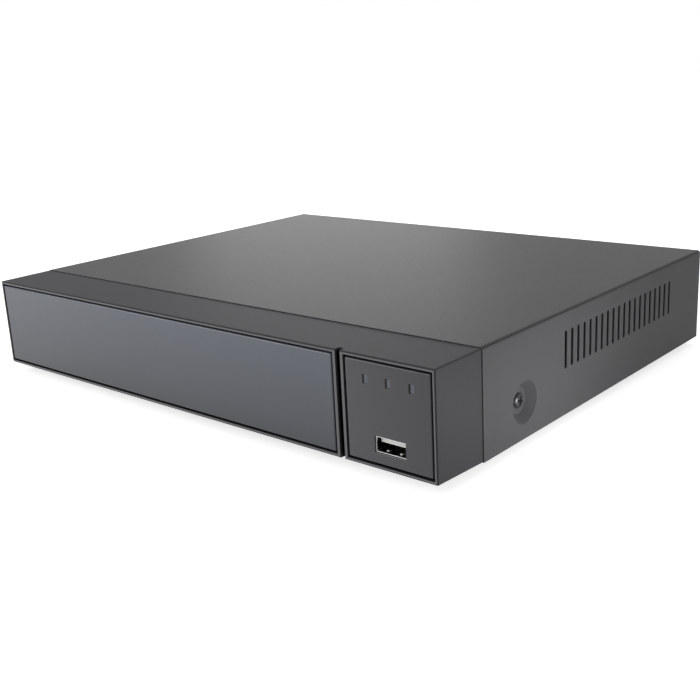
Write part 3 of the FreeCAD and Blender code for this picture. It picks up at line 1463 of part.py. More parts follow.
def cable_path(points):
    """Straight runs joined by tangent arcs as large as the two runs at each corner allow."""
    places = [Vector(*[as_size(value).value for value in point]) for point in points]
    edges = []
    here = places[0]
    for before, corner, after in zip(places, places[1:], places[2:]):
        toward, away = (corner - before), (after - corner)
        turn = toward.getAngle(away)
        trim = CORNER_SHARE * min(toward.Length, away.Length)
        radius = trim / math.tan(turn / 2)
        start = corner - toward.normalize() * trim
        end = corner + away.normalize() * trim
        bisector = (end + start - corner * 2).normalize()
        middle = corner + bisector * (radius / math.cos(turn / 2) - radius)
        edges.append(Part.LineSegment(here, start).toShape())
        edges.append(Part.Arc(start, middle, end).toShape())
        here = end
        print(f"  bend radius {radius:.1f} mm")
    edges.append(Part.LineSegment(here, places[-1]).toShape())
    return Part.Wire(edges)


def make_cable(name, points, width):
    """A flat lead of the given width, level where it leaves its first plug."""
    path = cable_path(points)
    start, onward = [Vector(*[as_size(value).value for value in point]) for point in points[:2]]
    along = (onward - start).normalize()
    across = along.cross(Vector(0, 0, 1)) * (as_size(width).value / 2)
    upward = Vector(0, 0, s.lead_thickness.value / 2)
    below, above = start - upward, start + upward
    corners = [below - across, below + across, above + across, above - across]
    section = Part.makePolygon(corners + corners[:1])
    lead = path.makePipeShell([section], True, False, 0)
    expected = as_size(width).value * s.lead_thickness.value * path.Length
    print(f"{name}: volume {lead.Volume:.1f} mm3, section times length {expected:.1f} mm3")
    cable = doc.addObject("Part::Feature", name)
    cable.Label = name
    cable.Shape = lead
    LOOSE.append(cable)


def make_cables():
    """Leads from the drive, the front board and the fan to the headers on the main board."""
    plugs = SubPart("cable_plugs")
    end = disk_x1 + s.plug_length
    for y, width in ((data_y, s.data_plug_width), (feed_y, s.feed_plug_width)):
        plugs.pad("XY", drive_plug_z - s.drive_plug_height / 2, drive_plug_z + s.drive_plug_height / 2,
                  centred(disk_x1 + s.plug_length / 2, y, s.plug_length, width))
    plug_y = board_y0 - s.plug_length
    plugs.pad("XY", board_z1, board_z1 + s.header_height,
              *[rect(x - s.header_width / 2, plug_y, x + s.header_width / 2, board_y0)
                for x in (data_x, feed_x, panel_x)])

    make_cable("drive_data_cable", [
        (end, data_y, drive_plug_z),
        (end + 12, data_y, drive_plug_z),
        (end + 17, data_y + 13, drive_plug_z + 0.8),
        (data_x, plug_y - 13, board_plug_z),
        (data_x, plug_y, board_plug_z),
    ], s.data_lead)
    make_cable("drive_power_cable", [
        (end, feed_y, drive_plug_z),
        (end + 15, feed_y, drive_plug_z),
        (end + 24, feed_y + 15, drive_plug_z + 4),
        (feed_x - 2, plug_y - 28, drive_plug_z + 3.5),
        (feed_x, plug_y - 14, board_plug_z),
        (feed_x, plug_y, board_plug_z),
    ], s.feed_lead)
    make_cable("front_panel_cable", [
        (indicator_x, front_header_y, front_header_z),
        (indicator_x, front_header_y + 21, front_header_z),
        (indicator_x - 7, front_header_y + 46, front_header_z + 1.5),
        (panel_x + 3, plug_y - 34, board_plug_z + 1.5),
        (panel_x, plug_y - 17, board_plug_z),
        (panel_x, plug_y, board_plug_z),
    ], s.panel_lead)
    fan_middle = (fan_x0 + fan_x1) / 2
    fan_edge = fan_y + s.fan_size / 2
    lead_z = fan_z - s.fan_hub / 2
    lead_low = board_z1 + s.header_height / 2
    make_cable("fan_lead", [
        (fan_middle, fan_edge, lead_z),
        (fan_middle, fan_edge + 6.5, lead_z),
        (fan_middle - 7, fan_edge + 11.5, lead_z - 3),
        (fan_lead_x, board_y0 - 7, lead_low),
        (fan_lead_x, board_y0, lead_low),
    ], s.fan_lead)


# ---------------------------------------------------------------- build, check and export

def check_document():
    """Stop on any object that failed, any cut that removed nothing and any unsound shape."""
    for item in doc.Objects:
        if {"Invalid", "Error"} & set(item.State):
            raise RuntimeError(f"{item.Name} failed: {item.State}")
        if item.TypeId in ("PartDesign::Pocket", "PartDesign::Groove"):
            before = item.BaseFeature.Shape.Volume
            if before - item.Shape.Volume < 1e-6:
                raise RuntimeError(f"{item.Name} in {item.getParent().Label} cuts nothing")
    for item in [part.body for part in PARTS] + LOOSE:
        if item.Shape.isNull() or not item.Shape.isValid():
            raise RuntimeError(f"{item.Label} has no sound shape")


def main():
    make_front_bezel()
    make_front_plates()
    make_indicators()
    make_front_board()
    make_usb_sockets()
    make_top_cover()
    make_base_tray()
    make_feet()
    make_disk_casting()
    make_disk_electronics()
    make_disk_mechanism()
    make_main_board()
    make_video_inputs()
    make_audio_jacks()
    make_monitor_socket()
    make_hdmi_socket()
    make_network_socket()
    make_power_jack()
    make_fan()
    make_inner_screws()
    make_cables()
    doc.recompute()
    check_document()
    os.makedirs("parts", exist_ok=True)
    for item in [part.body for part in PARTS] + LOOSE:
        item.Shape.exportStep(f"parts/{item.Label}.step")
    print(len(PARTS) + len(LOOSE), "nodes written")


main()
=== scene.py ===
# %% [markdown]
# # A compact security recorder
# The object is a flat steel box with a moulded front. The box is a folded cover screwed
# over a folded tray, and the front carries two glossy plates, three indicator windows and
# one data socket. The solids already have the right sizes and joints, so this script is
# about finish: paint, plastic, gloss, metal, small repeated parts, light and camera.

import json
from math import pi, radians
from random import Random

import bmesh
import bpy
from mathutils import Matrix, Vector


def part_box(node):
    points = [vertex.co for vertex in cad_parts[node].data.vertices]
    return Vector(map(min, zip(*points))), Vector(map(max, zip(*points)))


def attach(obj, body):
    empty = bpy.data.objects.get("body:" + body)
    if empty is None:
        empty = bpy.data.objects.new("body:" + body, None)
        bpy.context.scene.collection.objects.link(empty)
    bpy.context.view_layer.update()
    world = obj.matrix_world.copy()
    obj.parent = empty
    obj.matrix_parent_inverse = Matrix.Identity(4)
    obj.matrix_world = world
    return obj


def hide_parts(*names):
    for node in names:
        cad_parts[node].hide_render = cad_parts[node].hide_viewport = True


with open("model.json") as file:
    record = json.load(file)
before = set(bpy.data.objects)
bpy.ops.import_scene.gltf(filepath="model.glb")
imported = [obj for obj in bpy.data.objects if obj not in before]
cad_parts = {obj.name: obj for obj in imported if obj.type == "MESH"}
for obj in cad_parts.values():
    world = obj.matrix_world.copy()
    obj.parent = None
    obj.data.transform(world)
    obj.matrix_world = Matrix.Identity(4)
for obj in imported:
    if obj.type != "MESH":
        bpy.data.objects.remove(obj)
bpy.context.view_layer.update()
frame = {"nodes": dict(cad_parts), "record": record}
MM = 0.001


# %% [markdown]
# ## Where things are
# Places and sizes are read from the solids wherever they hold them. A box around a node
# gives its lowest and highest corners, and the middle and size follow from those.

# %% Helpers for places, and objects in the scene


def middle(node):
    low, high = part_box(node)
    return (low + high) / 2


def linked(name, data):
    """An object in the scene that shows the given mesh, lamp or camera."""
    thing = bpy.data.objects.new(name, data)
    bpy.context.scene.collection.objects.link(thing)
    return thing


bezel_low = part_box("front_bezel")[0]
cover_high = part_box("top_cover")[1]
case_middle = (bezel_low + cover_high) / 2
print("case middle:", tuple(round(value, 4) for value in case_middle))

# %% [markdown]
# ## Camera
# A small product like this one is shown with a short telephoto lens from slightly above
# and to the right of its front. The camera is turned about the vertical first, tipped
# down next and rolled last, which are three plain rotations that multiply together.

# %% The camera
CAMERA_PLACE = Vector((0.3057, -0.3506, 0.1423))
CAMERA_AZIMUTH = radians(41.06)
CAMERA_ELEVATION = radians(15.96)
CAMERA_ROLL = radians(-2.825)
CAMERA_LENS = 51.39
CAMERA_SHIFT = (-0.0143, -0.0214)


def make_camera():
    lens = bpy.data.cameras.new("camera")
    lens.lens = CAMERA_LENS
    lens.shift_x, lens.shift_y = CAMERA_SHIFT
    camera = linked("camera", lens)
    turn = Matrix.Rotation(CAMERA_AZIMUTH, 4, "Z")
    tip = Matrix.Rotation(pi / 2 - CAMERA_ELEVATION, 4, "X")
    roll = Matrix.Rotation(CAMERA_ROLL, 4, "Z")
    camera.matrix_world = Matrix.Translation(CAMERA_PLACE) @ turn @ tip @ roll
    bpy.context.scene.camera = camera
    return camera


camera = make_camera()
bpy.context.scene.view_settings.view_transform = "Standard"
print("camera:", tuple(round(value, 3) for value in camera.location))

# %% [markdown]
# ## Floor, backdrop and light
# A dark satin box shows its form only through what it mirrors. The floor and the world
# look white to the camera and in reflections, as a white sweep of paper would, but they
# give out only a moderate light. Five soft lamps do the rest: one above and one low behind
# on the left for the sheen on the lid, one at the front left for the plates, and two on
# the right for the side wall, of which the smaller one lies at its foot.

# %% Node helpers shared by the stage and all materials


class Nodes:
    """A node tree with short calls: add a node, set its inputs, join its output."""

    def __init__(self, tree):
        self.tree = tree
        tree.nodes.clear()

    def add(self, kind, settings=None, **inputs):
        node = self.tree.nodes.new(kind)
        for name, value in (settings or {}).items():
            setattr(node, name, value)
        for name, value in inputs.items():
            self.put(node.inputs[name.replace("_", " ")], value)
        return node

    def put(self, socket, value):
        if isinstance(value, bpy.types.NodeSocket):
            self.tree.links.new(value, socket)
        elif isinstance(value, bpy.types.Node):
            self.tree.links.new(value.outputs[0], socket)
        else:
            socket.default_value = value

    def math(self, operation, first, second):
        node = self.add("ShaderNodeMath", {"operation": operation})
        self.put(node.inputs[0], first)
        self.put(node.inputs[1], second)
        return node.outputs[0]

    def vector(self, operation, first, second=(0.0, 0.0, 0.0)):
        """Vector arithmetic, which gives a vector or, for some operations, a number."""
        node = self.add("ShaderNodeVectorMath", {"operation": operation})
        self.put(node.inputs[0], first)
        self.put(node.inputs[1], second)
        gives_number = operation in ("DISTANCE", "DOT_PRODUCT")
        return node.outputs["Value" if gives_number else "Vector"]


def new_material(name):
    material = bpy.data.materials.new(name)
    material.use_nodes = True
    return material, Nodes(material.node_tree)


WHITE = (1.0, 1.0, 1.0, 1.0)


def seen_directly(nodes):
    """One for rays from the camera, a mirror or a glass, and nought for diffuse light."""
    path = nodes.add("ShaderNodeLightPath").outputs
    mirrored = nodes.math("MAXIMUM", path["Is Camera Ray"], path["Is Glossy Ray"])
    return nodes.math("MAXIMUM", mirrored, path["Is Transmission Ray"])


def mixed(nodes, factor, first, second):
    """The first shader where the factor is nought and the second where it is one."""
    mix = nodes.add("ShaderNodeMixShader")
    for socket, value in zip(mix.inputs, (factor, first, second)):
        nodes.put(socket, value)
    return mix


# %% The stage: paper floor, world and lamps
FLOOR_SPREAD = 3.0
FLOOR_PAPER = (0.80, 0.80, 0.80, 1.0)
FLOOR_GLOW = 0.7
WORLD_LIGHT = 0.42
LOW_LAMP_FORWARD = 45 * MM
LOW_LAMP_AIM = 3 * MM


def make_floor():
    """A wide sheet of paper at the height of the feet, with a glow of its own to the eye."""
    mesh = bpy.data.meshes.new("floor")
    corners = [(x, y, 0.0) for x, y in ((-1, -1), (1, -1), (1, 1), (-1, 1))]
    mesh.from_pydata([Vector(corner) * FLOOR_SPREAD for corner in corners], [], [(0, 1, 2, 3)])
    floor = linked("floor", mesh)
    material, nodes = new_material("paper")
    paper = nodes.add("ShaderNodeBsdfDiffuse", Color=FLOOR_PAPER)
    glow = nodes.add("ShaderNodeEmission", Color=WHITE, Strength=FLOOR_GLOW)
    both = nodes.add("ShaderNodeAddShader")
    nodes.put(both.inputs[0], paper)
    nodes.put(both.inputs[1], glow)
    surface = mixed(nodes, seen_directly(nodes), paper, both)
    nodes.add("ShaderNodeOutputMaterial", Surface=surface)
    mesh.materials.append(material)
    return floor


def make_world():
    world = bpy.data.worlds.new("studio")
    world.use_nodes = True
    nodes = Nodes(world.node_tree)
    light = nodes.add("ShaderNodeBackground", Color=WHITE, Strength=WORLD_LIGHT)
    shown = nodes.add("ShaderNodeBackground", Color=WHITE, Strength=1.0)
    surface = mixed(nodes, seen_directly(nodes), light, shown)
    nodes.add("ShaderNodeOutputWorld", Surface=surface)
    bpy.context.scene.world = world


def make_lamp(name, place, target, size, power):
    """A square soft lamp that looks at its target."""
    light = bpy.data.lights.new(name, "AREA")
    light.size = size
    light.energy = power
    lamp = linked(name, light)
    lamp.visible_camera = False
    aim = (Vector(target) - Vector(place)).to_track_quat("-Z", "Y")
    lamp.matrix_world = Matrix.Translation(place) @ aim.to_matrix().to_4x4()
    return lamp


side_foot = Vector((cover_high.x, case_middle.y - LOW_LAMP_FORWARD, LOW_LAMP_AIM))
LAMPS = [
    ("lamp_above", (-0.2, 0.1, 1.1), case_middle, 0.9, 4.5),
    ("lamp_front_left", (-0.9, -1.0, 0.6), case_middle, 0.8, 8.0),
    ("lamp_right", (0.62, -0.4, 0.12), case_middle, 0.35, 0.4),
    ("lamp_low_right", (0.215, -0.05, 0.001), side_foot, 0.03, 0.19),
    ("lamp_behind_left", (-1.15, 1.25, 0.22), case_middle, 0.6, 3.2),
]
make_floor()
make_world()
for lamp in LAMPS:
    make_lamp(*lamp)
print("lamps:", [lamp[0] for lamp in LAMPS])

# %% [markdown]
# ## Finishes
# Nearly every finish starts from the same three things: a colour that drifts a little
# over a few centimetres, a roughness that is never quite even, and a relief far finer than
# a millimetre. What changes between paint, plastic and metal is how large each of them is.
# All patterns are laid in object coordinates, in metres, so they have a real size.

# %% Coordinates, noise and tints
PATTERN_RANGE = (0.3, 0.7)
# A Mix node has sockets for each kind of value, and these are the ones for colours.
MIX_FIRST = 6
MIX_SECOND = 7
MIX_RESULT = 2


def object_place(nodes):
    """Where a point lies on its object, in metres."""
    return nodes.add("ShaderNodeTexCoord").outputs["Object"]


def object_point(nodes, stretch=(1.0, 1.0, 1.0)):
    """Object coordinates, stretched along an axis for brushed or drawn surfaces."""
    mapping = nodes.add("ShaderNodeMapping", Scale=stretch)
    nodes.put(mapping.inputs["Vector"], object_place(nodes))
    return mapping


def noise(nodes, point, size, detail=2.0):
    """Noise whose lumps are about size metres across."""
    return nodes.add("ShaderNodeTexNoise", Vector=point, Scale=1.0 / size, Detail=detail)


def between(nodes, factor, low, high):
    """A number that runs from low to high as the pattern runs over its middle range."""
    start, end = PATTERN_RANGE
    return nodes.add("ShaderNodeMapRange", Value=factor, From_Min=start, From_Max=end,
                     To_Min=low, To_Max=high)


def tinted(nodes, factor, colour, drift):
    """The colour, made a little darker and lighter by the pattern."""
    ramp = nodes.add("ShaderNodeValToRGB", Fac=factor)
    stops = ramp.color_ramp.elements
    for stop, place, share in zip(stops, PATTERN_RANGE, (1 - drift, 1 + drift)):
        stop.position = place
        stop.color = [part * share for part in colour] + [1.0]
    return ramp


def multiplied(nodes, colour, shade):
    """A colour times a grey or coloured shade."""
    mix = nodes.add("ShaderNodeMix", {"data_type": "RGBA", "blend_type": "MULTIPLY"})
    nodes.put(mix.inputs["Factor"], 1.0)
    nodes.put(mix.inputs[MIX_FIRST], colour)
    nodes.put(mix.inputs[MIX_SECOND], shade)
    return mix.outputs[MIX_RESULT]


# %% [markdown]
# ### Shades
# A slot or a channel is dark because hardly any light finds its way in and out again. A
# shade painted on the colour helps that along: it is one on the outer faces of a box and falls
# off below them. Another painted shade runs evenly along a line, as the fall of light over a
# polished plate does. Each is a function that adds its nodes to a material when the material is
# made.

# %% Shades by depth and by length
SHADE_REACH = 1.3
SPARED_EDGE = 1.05


def shade_below(box, skin, dark=0.06, spared=None):
    """A shade that is one on the faces of a box and falls to dark below its skin.

    The spared zone is a depth, a height and a radius: a column along X that stays light.
    """
    low, high = box
    centre = tuple((low + high) / 2)
    half = tuple((high - low) / 2)

    def build(nodes):
        where = object_place(nodes)
        folded = nodes.vector("ABSOLUTE", nodes.vector("SUBTRACT", where, centre))
        inward = nodes.vector("SUBTRACT", folded, half)
        parts = nodes.add("ShaderNodeSeparateXYZ", Vector=inward).outputs
        widest = nodes.math("MAXIMUM", parts["X"], parts["Y"])
        nearest = nodes.math("MAXIMUM", widest, parts["Z"])
        shade = nodes.add("ShaderNodeMapRange", Value=nearest, From_Min=-skin * SHADE_REACH,
                          From_Max=-skin, To_Min=dark, To_Max=1.0)
        if spared is None:
            return shade
        depth, level, radius = spared
        flat = nodes.vector("MULTIPLY", where, (0.0, 1.0, 1.0))
        away = nodes.vector("DISTANCE", flat, (0.0, depth, level))
        light = nodes.add("ShaderNodeMapRange", Value=away, From_Min=radius,
                          From_Max=radius * SPARED_EDGE, To_Min=1.0, To_Max=0.0)
        return nodes.math("MAXIMUM", shade, light)

    return build


def shade_along(start, end, first, last):
    """A shade that runs evenly from one point of the object to another."""
    run = Vector(end) - Vector(start)

    def build(nodes):
        offset = nodes.vector("SUBTRACT", object_place(nodes), tuple(start))
        share = nodes.vector("DOT_PRODUCT", offset, tuple(run / run.length_squared))
        return nodes.add("ShaderNodeMapRange", Value=share, To_Min=first, To_Max=last)

    return build


# %% The common ground of all finishes


def finish(name, colour, rough=(0.4, 0.5), drift=0.05, drift_size=0.03, grain=0.0004,
           relief=0.00001, stretch=(1.0, 1.0, 1.0), shades=(), **constants):
    """A Principled surface with drifting colour, uneven roughness and a fine relief."""
    material, nodes = new_material(name)
    point = object_point(nodes, stretch)
    broad = noise(nodes, point, drift_size, detail=4.0)
    fine = noise(nodes, point, grain)
    bump = nodes.add("ShaderNodeBump", Height=fine, Distance=relief)
    skin = tinted(nodes, broad, colour, drift)
    for shade in shades:
        skin = multiplied(nodes, skin, shade(nodes))
    body = nodes.add("ShaderNodeBsdfPrincipled", Base_Color=skin,
                     Roughness=between(nodes, fine, *rough), Normal=bump)
    for socket, value in constants.items():
        body.inputs[socket.replace("_", " ")].default_value = value
    nodes.add("ShaderNodeOutputMaterial", Surface=body)
    return material


# %% [markdown]
# ### Paint, plastic, rubber and metals
# The steel is powder coated: a satin skin with a fine orange peel. The bezel has a finer
# spark-eroded grain, and the plates are polished acrylic. Bare metal parts differ by how
# they were made, so tinned shells are smooth, castings are pitted and sheet is brushed.

# %% Finishes of the outside
PAINT = (0.052, 0.052, 0.054)
BEZEL = (0.034, 0.034, 0.037)
LEFT_PLATE = (0.086, 0.095, 0.114)
RIGHT_PLATE = (0.052, 0.052, 0.058)
SATIN_GLOSS = 0.08
# Below these depths under the outer faces, paint and bezel carry a painted shade that darkens
# slots, channels and the inside.
COVER_SKIN = 0.3 * MM
TRAY_SKIN = 0.7 * MM
BEZEL_SKIN = 0.9 * MM


def lighter(colour, times):
    return tuple(part * times for part in colour)


# The dimples round the side screws stay out of that painted shade.
DIMPLE_RADIUS = 9.0 * MM
side_screw = middle("cover_side_screws")
DIMPLE_ZONE = (side_screw.y, side_screw.z, DIMPLE_RADIUS)


# The edge factor makes a lighter copy of the paint, used as a painted highlight on rounded edges.
def make_paint(name, node, skin, edge=1.0):
    return finish(name, lighter(PAINT, edge), rough=(0.42, 0.52), drift=0.04, grain=0.00035,
                  relief=0.000016, shades=[shade_below(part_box(node), skin, spared=DIMPLE_ZONE)],
                  Specular_IOR_Level=SATIN_GLOSS)


# Its edge factor likewise makes a lighter copy, used as a painted highlight on rounded edges.
def make_bezel_plastic(name="bezel_plastic", edge=1.0):
    return finish(name, lighter(BEZEL, edge), rough=(0.5, 0.58), drift=0.03, grain=0.00025,
                  relief=0.000006, shades=[shade_below(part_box("front_bezel"), BEZEL_SKIN)],
                  Specular_IOR_Level=SATIN_GLOSS)


def make_gloss_plate(name, node, colour, across, down):
    """Smoked acrylic with painted light: its shade changes evenly to the right and towards the
    foot.
    """
    low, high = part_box(node)
    corner = (low.x, low.y, high.z)
    painted_light_across = shade_along(corner, (high.x, low.y, high.z), *across)
    painted_light_down = shade_along(corner, (low.x, low.y, low.z), *down)
    return finish(name, colour, rough=(0.16, 0.2), drift=0.02, grain=0.002,
                  relief=0.000002, shades=[painted_light_across, painted_light_down], Specular_IOR_Level=0.4)


WINDOW_PITCH = 9.8 * MM
WINDOW_CORE = 0.75 * MM
WINDOW_SHIFT = 0.3 * MM
guide_middle = middle("light_guide")


def window_recess_shade(nodes):
    """Painted shade: one inside a narrow upright strip of each window and dark at its sides,
    where the recess shades it.
    """
    across = nodes.add("ShaderNodeSeparateXYZ", Vector=object_place(nodes)).outputs["X"]
    from_middle = nodes.math("SUBTRACT", across, guide_middle.x + WINDOW_SHIFT)
    folded = nodes.math("PINGPONG", from_middle, WINDOW_PITCH / 2)
    return nodes.add("ShaderNodeMapRange", Value=folded, From_Min=WINDOW_CORE * 0.8,
                     From_Max=WINDOW_CORE, To_Min=1.0, To_Max=0.05)


def make_clear_guide():
    """Light pipes seen end on: a grey core between sides darkened as painted shade of the recess.
    """
    return finish("light_guide_clear", (0.11, 0.12, 0.145), rough=(0.2, 0.26), drift=0.02,
                  shades=[window_recess_shade], Specular_IOR_Level=0.3)


def make_rubber():
    return finish("foot_rubber", (0.02, 0.02, 0.021), rough=(0.7, 0.85), grain=0.0006,
                  relief=0.00003)


# %% Finishes of the metal parts


def make_metal(name, colour, rough, stretch=(1.0, 1.0, 1.0), grain=0.0006, relief=0.000008):
    return finish(name, colour, rough=rough, drift=0.06, grain=grain, relief=relief,
                  stretch=stretch, Metallic=1.0)


def make_black_screw():
    return finish("black_screw", (0.02, 0.02, 0.022), rough=(0.25, 0.38), grain=0.0005,
                  relief=0.00001, Metallic=0.4)


# %% [markdown]
# ### Circuit boards
# A board is green because of its solder mask, and its copper shows through as slightly
# lighter lines. A brick pattern gives the square tracks and a pattern of square cells
# gives the copper pours, without drawing a single one by hand.

# %% Solder-masked board
MASK = (0.008, 0.07, 0.028, 1.0)
TRACK = (0.015, 0.13, 0.05, 1.0)
TRACK_SCALE = 260.0
TRACK_WIDTH = 0.06
POUR_SCALE = 70.0
POUR_EDGE = 0.42


def make_board():
    material, nodes = new_material("board_green")
    point = object_point(nodes)
    tracks = nodes.add("ShaderNodeTexBrick", {"offset": 0.37}, Vector=point, Color1=MASK,
                       Color2=MASK, Mortar=TRACK, Scale=TRACK_SCALE, Mortar_Size=TRACK_WIDTH)
    pours = nodes.add("ShaderNodeTexVoronoi", {"distance": "CHEBYCHEV"}, Vector=point,
                      Scale=POUR_SCALE)
    edge = nodes.math("GREATER_THAN", pours.outputs["Distance"], POUR_EDGE)
    mix = nodes.add("ShaderNodeMix", {"data_type": "RGBA"}, Factor=edge)
    nodes.put(mix.inputs[MIX_FIRST], tracks)
    nodes.put(mix.inputs[MIX_SECOND], TRACK)
    bump = nodes.add("ShaderNodeBump", Height=tracks.outputs["Fac"], Distance=0.00003)
    body = nodes.add("ShaderNodeBsdfPrincipled", Base_Color=mix.outputs[MIX_RESULT],
                     Roughness=0.3, Normal=bump)
    nodes.add("ShaderNodeOutputMaterial", Surface=body)
    return material


# %% [markdown]
# ### One finish for each slot
# The record of the recorder names a finish for each solid. The table here makes each
# finish once, and a loop then gives every solid the finish that its slot names.

# %% The table of finishes
ALONG_X = (0.05, 1.0, 1.0)
FINISHES = {
    "cover_paint": make_paint("cover_paint", "top_cover", COVER_SKIN),
    "tray_steel": make_paint("tray_steel", "base_tray", TRAY_SKIN),
    "bezel_plastic": make_bezel_plastic(),
    "gloss_plate": make_gloss_plate("left_gloss", "left_front_plate", LEFT_PLATE, (1.0, 1.0),
                                    (1.3, 0.62)),
    "light_guide_clear": make_clear_guide(),
    "foot_rubber": make_rubber(),
    "black_screw": make_black_screw(),
    "board_green": make_board(),
    "lamp": finish("lamp", (0.62, 0.60, 0.50), rough=(0.2, 0.3)),
    "tinned_steel": make_metal("tinned_steel", (0.62, 0.62, 0.63), (0.22, 0.34)),
    "gold_contact": make_metal("gold_contact", (0.80, 0.55, 0.18), (0.16, 0.26)),
    "zinc_screw": make_metal("zinc_screw", (0.60, 0.61, 0.62), (0.25, 0.4)),
    "cast_aluminium": make_metal("cast_aluminium", (0.46, 0.47, 0.49), (0.42, 0.6),
                                 grain=0.0012, relief=0.00004),
    "bare_aluminium": make_metal("bare_aluminium", (0.62, 0.63, 0.65), (0.28, 0.42), ALONG_X),
    "mirror_platter": make_metal("mirror_platter", (0.75, 0.75, 0.78), (0.02, 0.05)),
    "magnet_steel": make_metal("magnet_steel", (0.48, 0.48, 0.5), (0.3, 0.42)),
    "nickel": make_metal("nickel", (0.66, 0.64, 0.60), (0.12, 0.24)),
    "can_sleeve": make_metal("can_sleeve", (0.62, 0.62, 0.64), (0.2, 0.3)),
    "anodised_black": make_metal("anodised_black", (0.05, 0.05, 0.05), (0.35, 0.5), ALONG_X),
    "ceramic_tan": finish("ceramic_tan", (0.36, 0.24, 0.13), rough=(0.35, 0.45)),
    "white_plastic": finish("white_plastic", (0.80, 0.80, 0.77), rough=(0.3, 0.4)),
    "black_plastic": finish("black_plastic", (0.022, 0.022, 0.024), rough=(0.4, 0.55),
                            relief=0.00002),
    "chip_black": finish("chip_black", (0.03, 0.03, 0.032), rough=(0.45, 0.6), relief=0.00002),
    "ferrite": finish("ferrite", (0.07, 0.07, 0.075), rough=(0.6, 0.75), relief=0.00004),
    "blue_plastic": finish("blue_plastic", (0.01, 0.05, 0.32), rough=(0.35, 0.45)),
    "cable_red": finish("cable_red", (0.45, 0.02, 0.015), rough=(0.4, 0.5)),
    "cable_black": finish("cable_black", (0.02, 0.02, 0.02), rough=(0.45, 0.6)),
    "cable_grey": finish("cable_grey", (0.25, 0.25, 0.26), rough=(0.45, 0.6)),
}
node_slots = {row["node"]: row["material_slot"] for row in frame["record"]["subparts"]}


def dress(node):
    """Gives a solid the finish of its slot, without touching its mesh."""
    solid = frame["nodes"][node]
    if not solid.material_slots:
        solid.data.materials.append(None)
    for slot in solid.material_slots:
        slot.material = FINISHES[node_slots[node]]


for node in frame["nodes"]:
    dress(node)
print("finishes:", len(FINISHES), "solids dressed:", len(frame["nodes"]))

# %% [markdown]
# ## Edges that catch the light
# No real edge is sharp. Folded sheet, moulded plastic and cut acrylic all end in a small
# radius, and that radius is what draws the thin bright lines on a dark product. It could
# be faked with a bevel in the shader, but then the mesh would still be sharp. Here each
# outer piece is rebuilt from its solid: doubles are merged, flat faces are joined again,
# and a Bevel modifier rounds every edge that is sharper than a limit. Weighted normals
# then keep the large flat faces flat to the light.

# %% Clean meshes from solids and from modifiers
WELD = 0.001 * MM
FLAT_WITHIN = radians(0.4)
body_of = {node: body for body, nodes in frame["record"]["behaviour"]["bodies"].items()
           for node in nodes}


def welded_mesh(node):
    """The solid's loose triangles as a bmesh with shared corners."""
    surface = bmesh.new()
    surface.from_mesh(frame["nodes"][node].data)
    bmesh.ops.remove_doubles(surface, verts=surface.verts, dist=WELD)
    return surface


def merged_mesh(node):
    """The solid's surface with shared corners and whole flat faces."""
    surface = welded_mesh(node)
    bmesh.ops.dissolve_limit(surface, angle_limit=FLAT_WITHIN, verts=surface.verts,
                             edges=surface.edges)
    return surface


def bake_modifiers(piece):
    """Applies what the modifiers make, so that the piece is a plain mesh again."""
    evaluated = piece.evaluated_get(bpy.context.evaluated_depsgraph_get())
    made = bpy.data.meshes.new_from_object(evaluated)
    piece.modifiers.clear()
    piece.data = made
    return made


# %% [markdown]
# ### Finishes of single pieces
# Four places look unlike the rest of their slot. The two kinds of socket shield carry a
# painted shade behind their mouths, the right-hand plate is a duller grey than the long one,
# and the rim of the bezel is glossy and painted lighter, as painted light, where it faces
# forward.

# %% Finishes of single pieces
SOCKET_MOUTH = 0.5 * MM
SHIELD_WALL = 0.35 * MM
RIM = (0.115, 0.116, 0.125)
FAR = Vector((1.0, 0.0, 1.0))
shell_low, shell_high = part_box("usb_shells")


def make_shell_finish():
    """Tin with a painted shade a little way behind the mouth, where no light reaches it.

    The box is widened across and upwards, so that only the depth counts.
    """
    inside = shade_below((shell_low - FAR, shell_high + FAR), SOCKET_MOUTH, 0.03)
    return finish("socket_tin", (0.62, 0.62, 0.63), rough=(0.25, 0.36), drift=0.06,
                  grain=0.0006, relief=0.000008, shades=[inside], Metallic=1.0)


def make_network_tin():
    """The shield of the network socket: bright outside, with a painted shade in the mouth."""
    inside = shade_below(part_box("network_socket"), SHIELD_WALL, 0.05)
    return finish("network_tin", (0.5, 0.5, 0.51), rough=(0.3, 0.42), drift=0.06,
                  grain=0.0006, relief=0.000008, shades=[inside], Metallic=1.0)


def make_rim_gloss():
    """The narrow front face of the frame, polished like its plates and painted lighter as painted
    light.
    """
    return finish("rim_gloss", RIM, rough=(0.2, 0.26), drift=0.02, grain=0.002,
                  relief=0.000002, Specular_IOR_Level=0.4)


OWN_FINISHES = {
    "usb_shells": make_shell_finish(),
    "network_socket": make_network_tin(),
    "indicator_plate": make_gloss_plate("right_gloss", "indicator_plate", RIGHT_PLATE,
                                        (1.2, 0.75), (1.0, 1.1)),
}
for slot in frame["nodes"]["network_socket"].material_slots:
    slot.material = OWN_FINISHES["network_socket"]
print("finishes of single pieces:", list(OWN_FINISHES))

# %% [markdown]
# ### Touch-ups by face
# Some finishes follow the faces of a piece. The narrow rim that faces forward is polished
# and painted a lighter grey as painted light, the rounded edges of the air slots get a black
# finish as painted shade because they look into the case, and the pressed springs of a data
# socket slope, so they catch light that its flat walls don't and are kept out of the painted
# shade.
# Each touch-up is a function that gives such faces another finish of the same mesh.

# %% Touch-ups
EDGE_FINISH = 1
FACING_FRONT = 0.98
FRONT_DEPTH = 0.3 * MM
SLOPED = 0.985
WALL_DEPTH = 0.5 * MM
SLOTS_FROM_EDGE = 3 * MM


def added_finish(mesh, material):
    """Adds a finish to a mesh and returns its place in the mesh's list."""
    mesh.materials.append(material)
    return len(mesh.materials) - 1


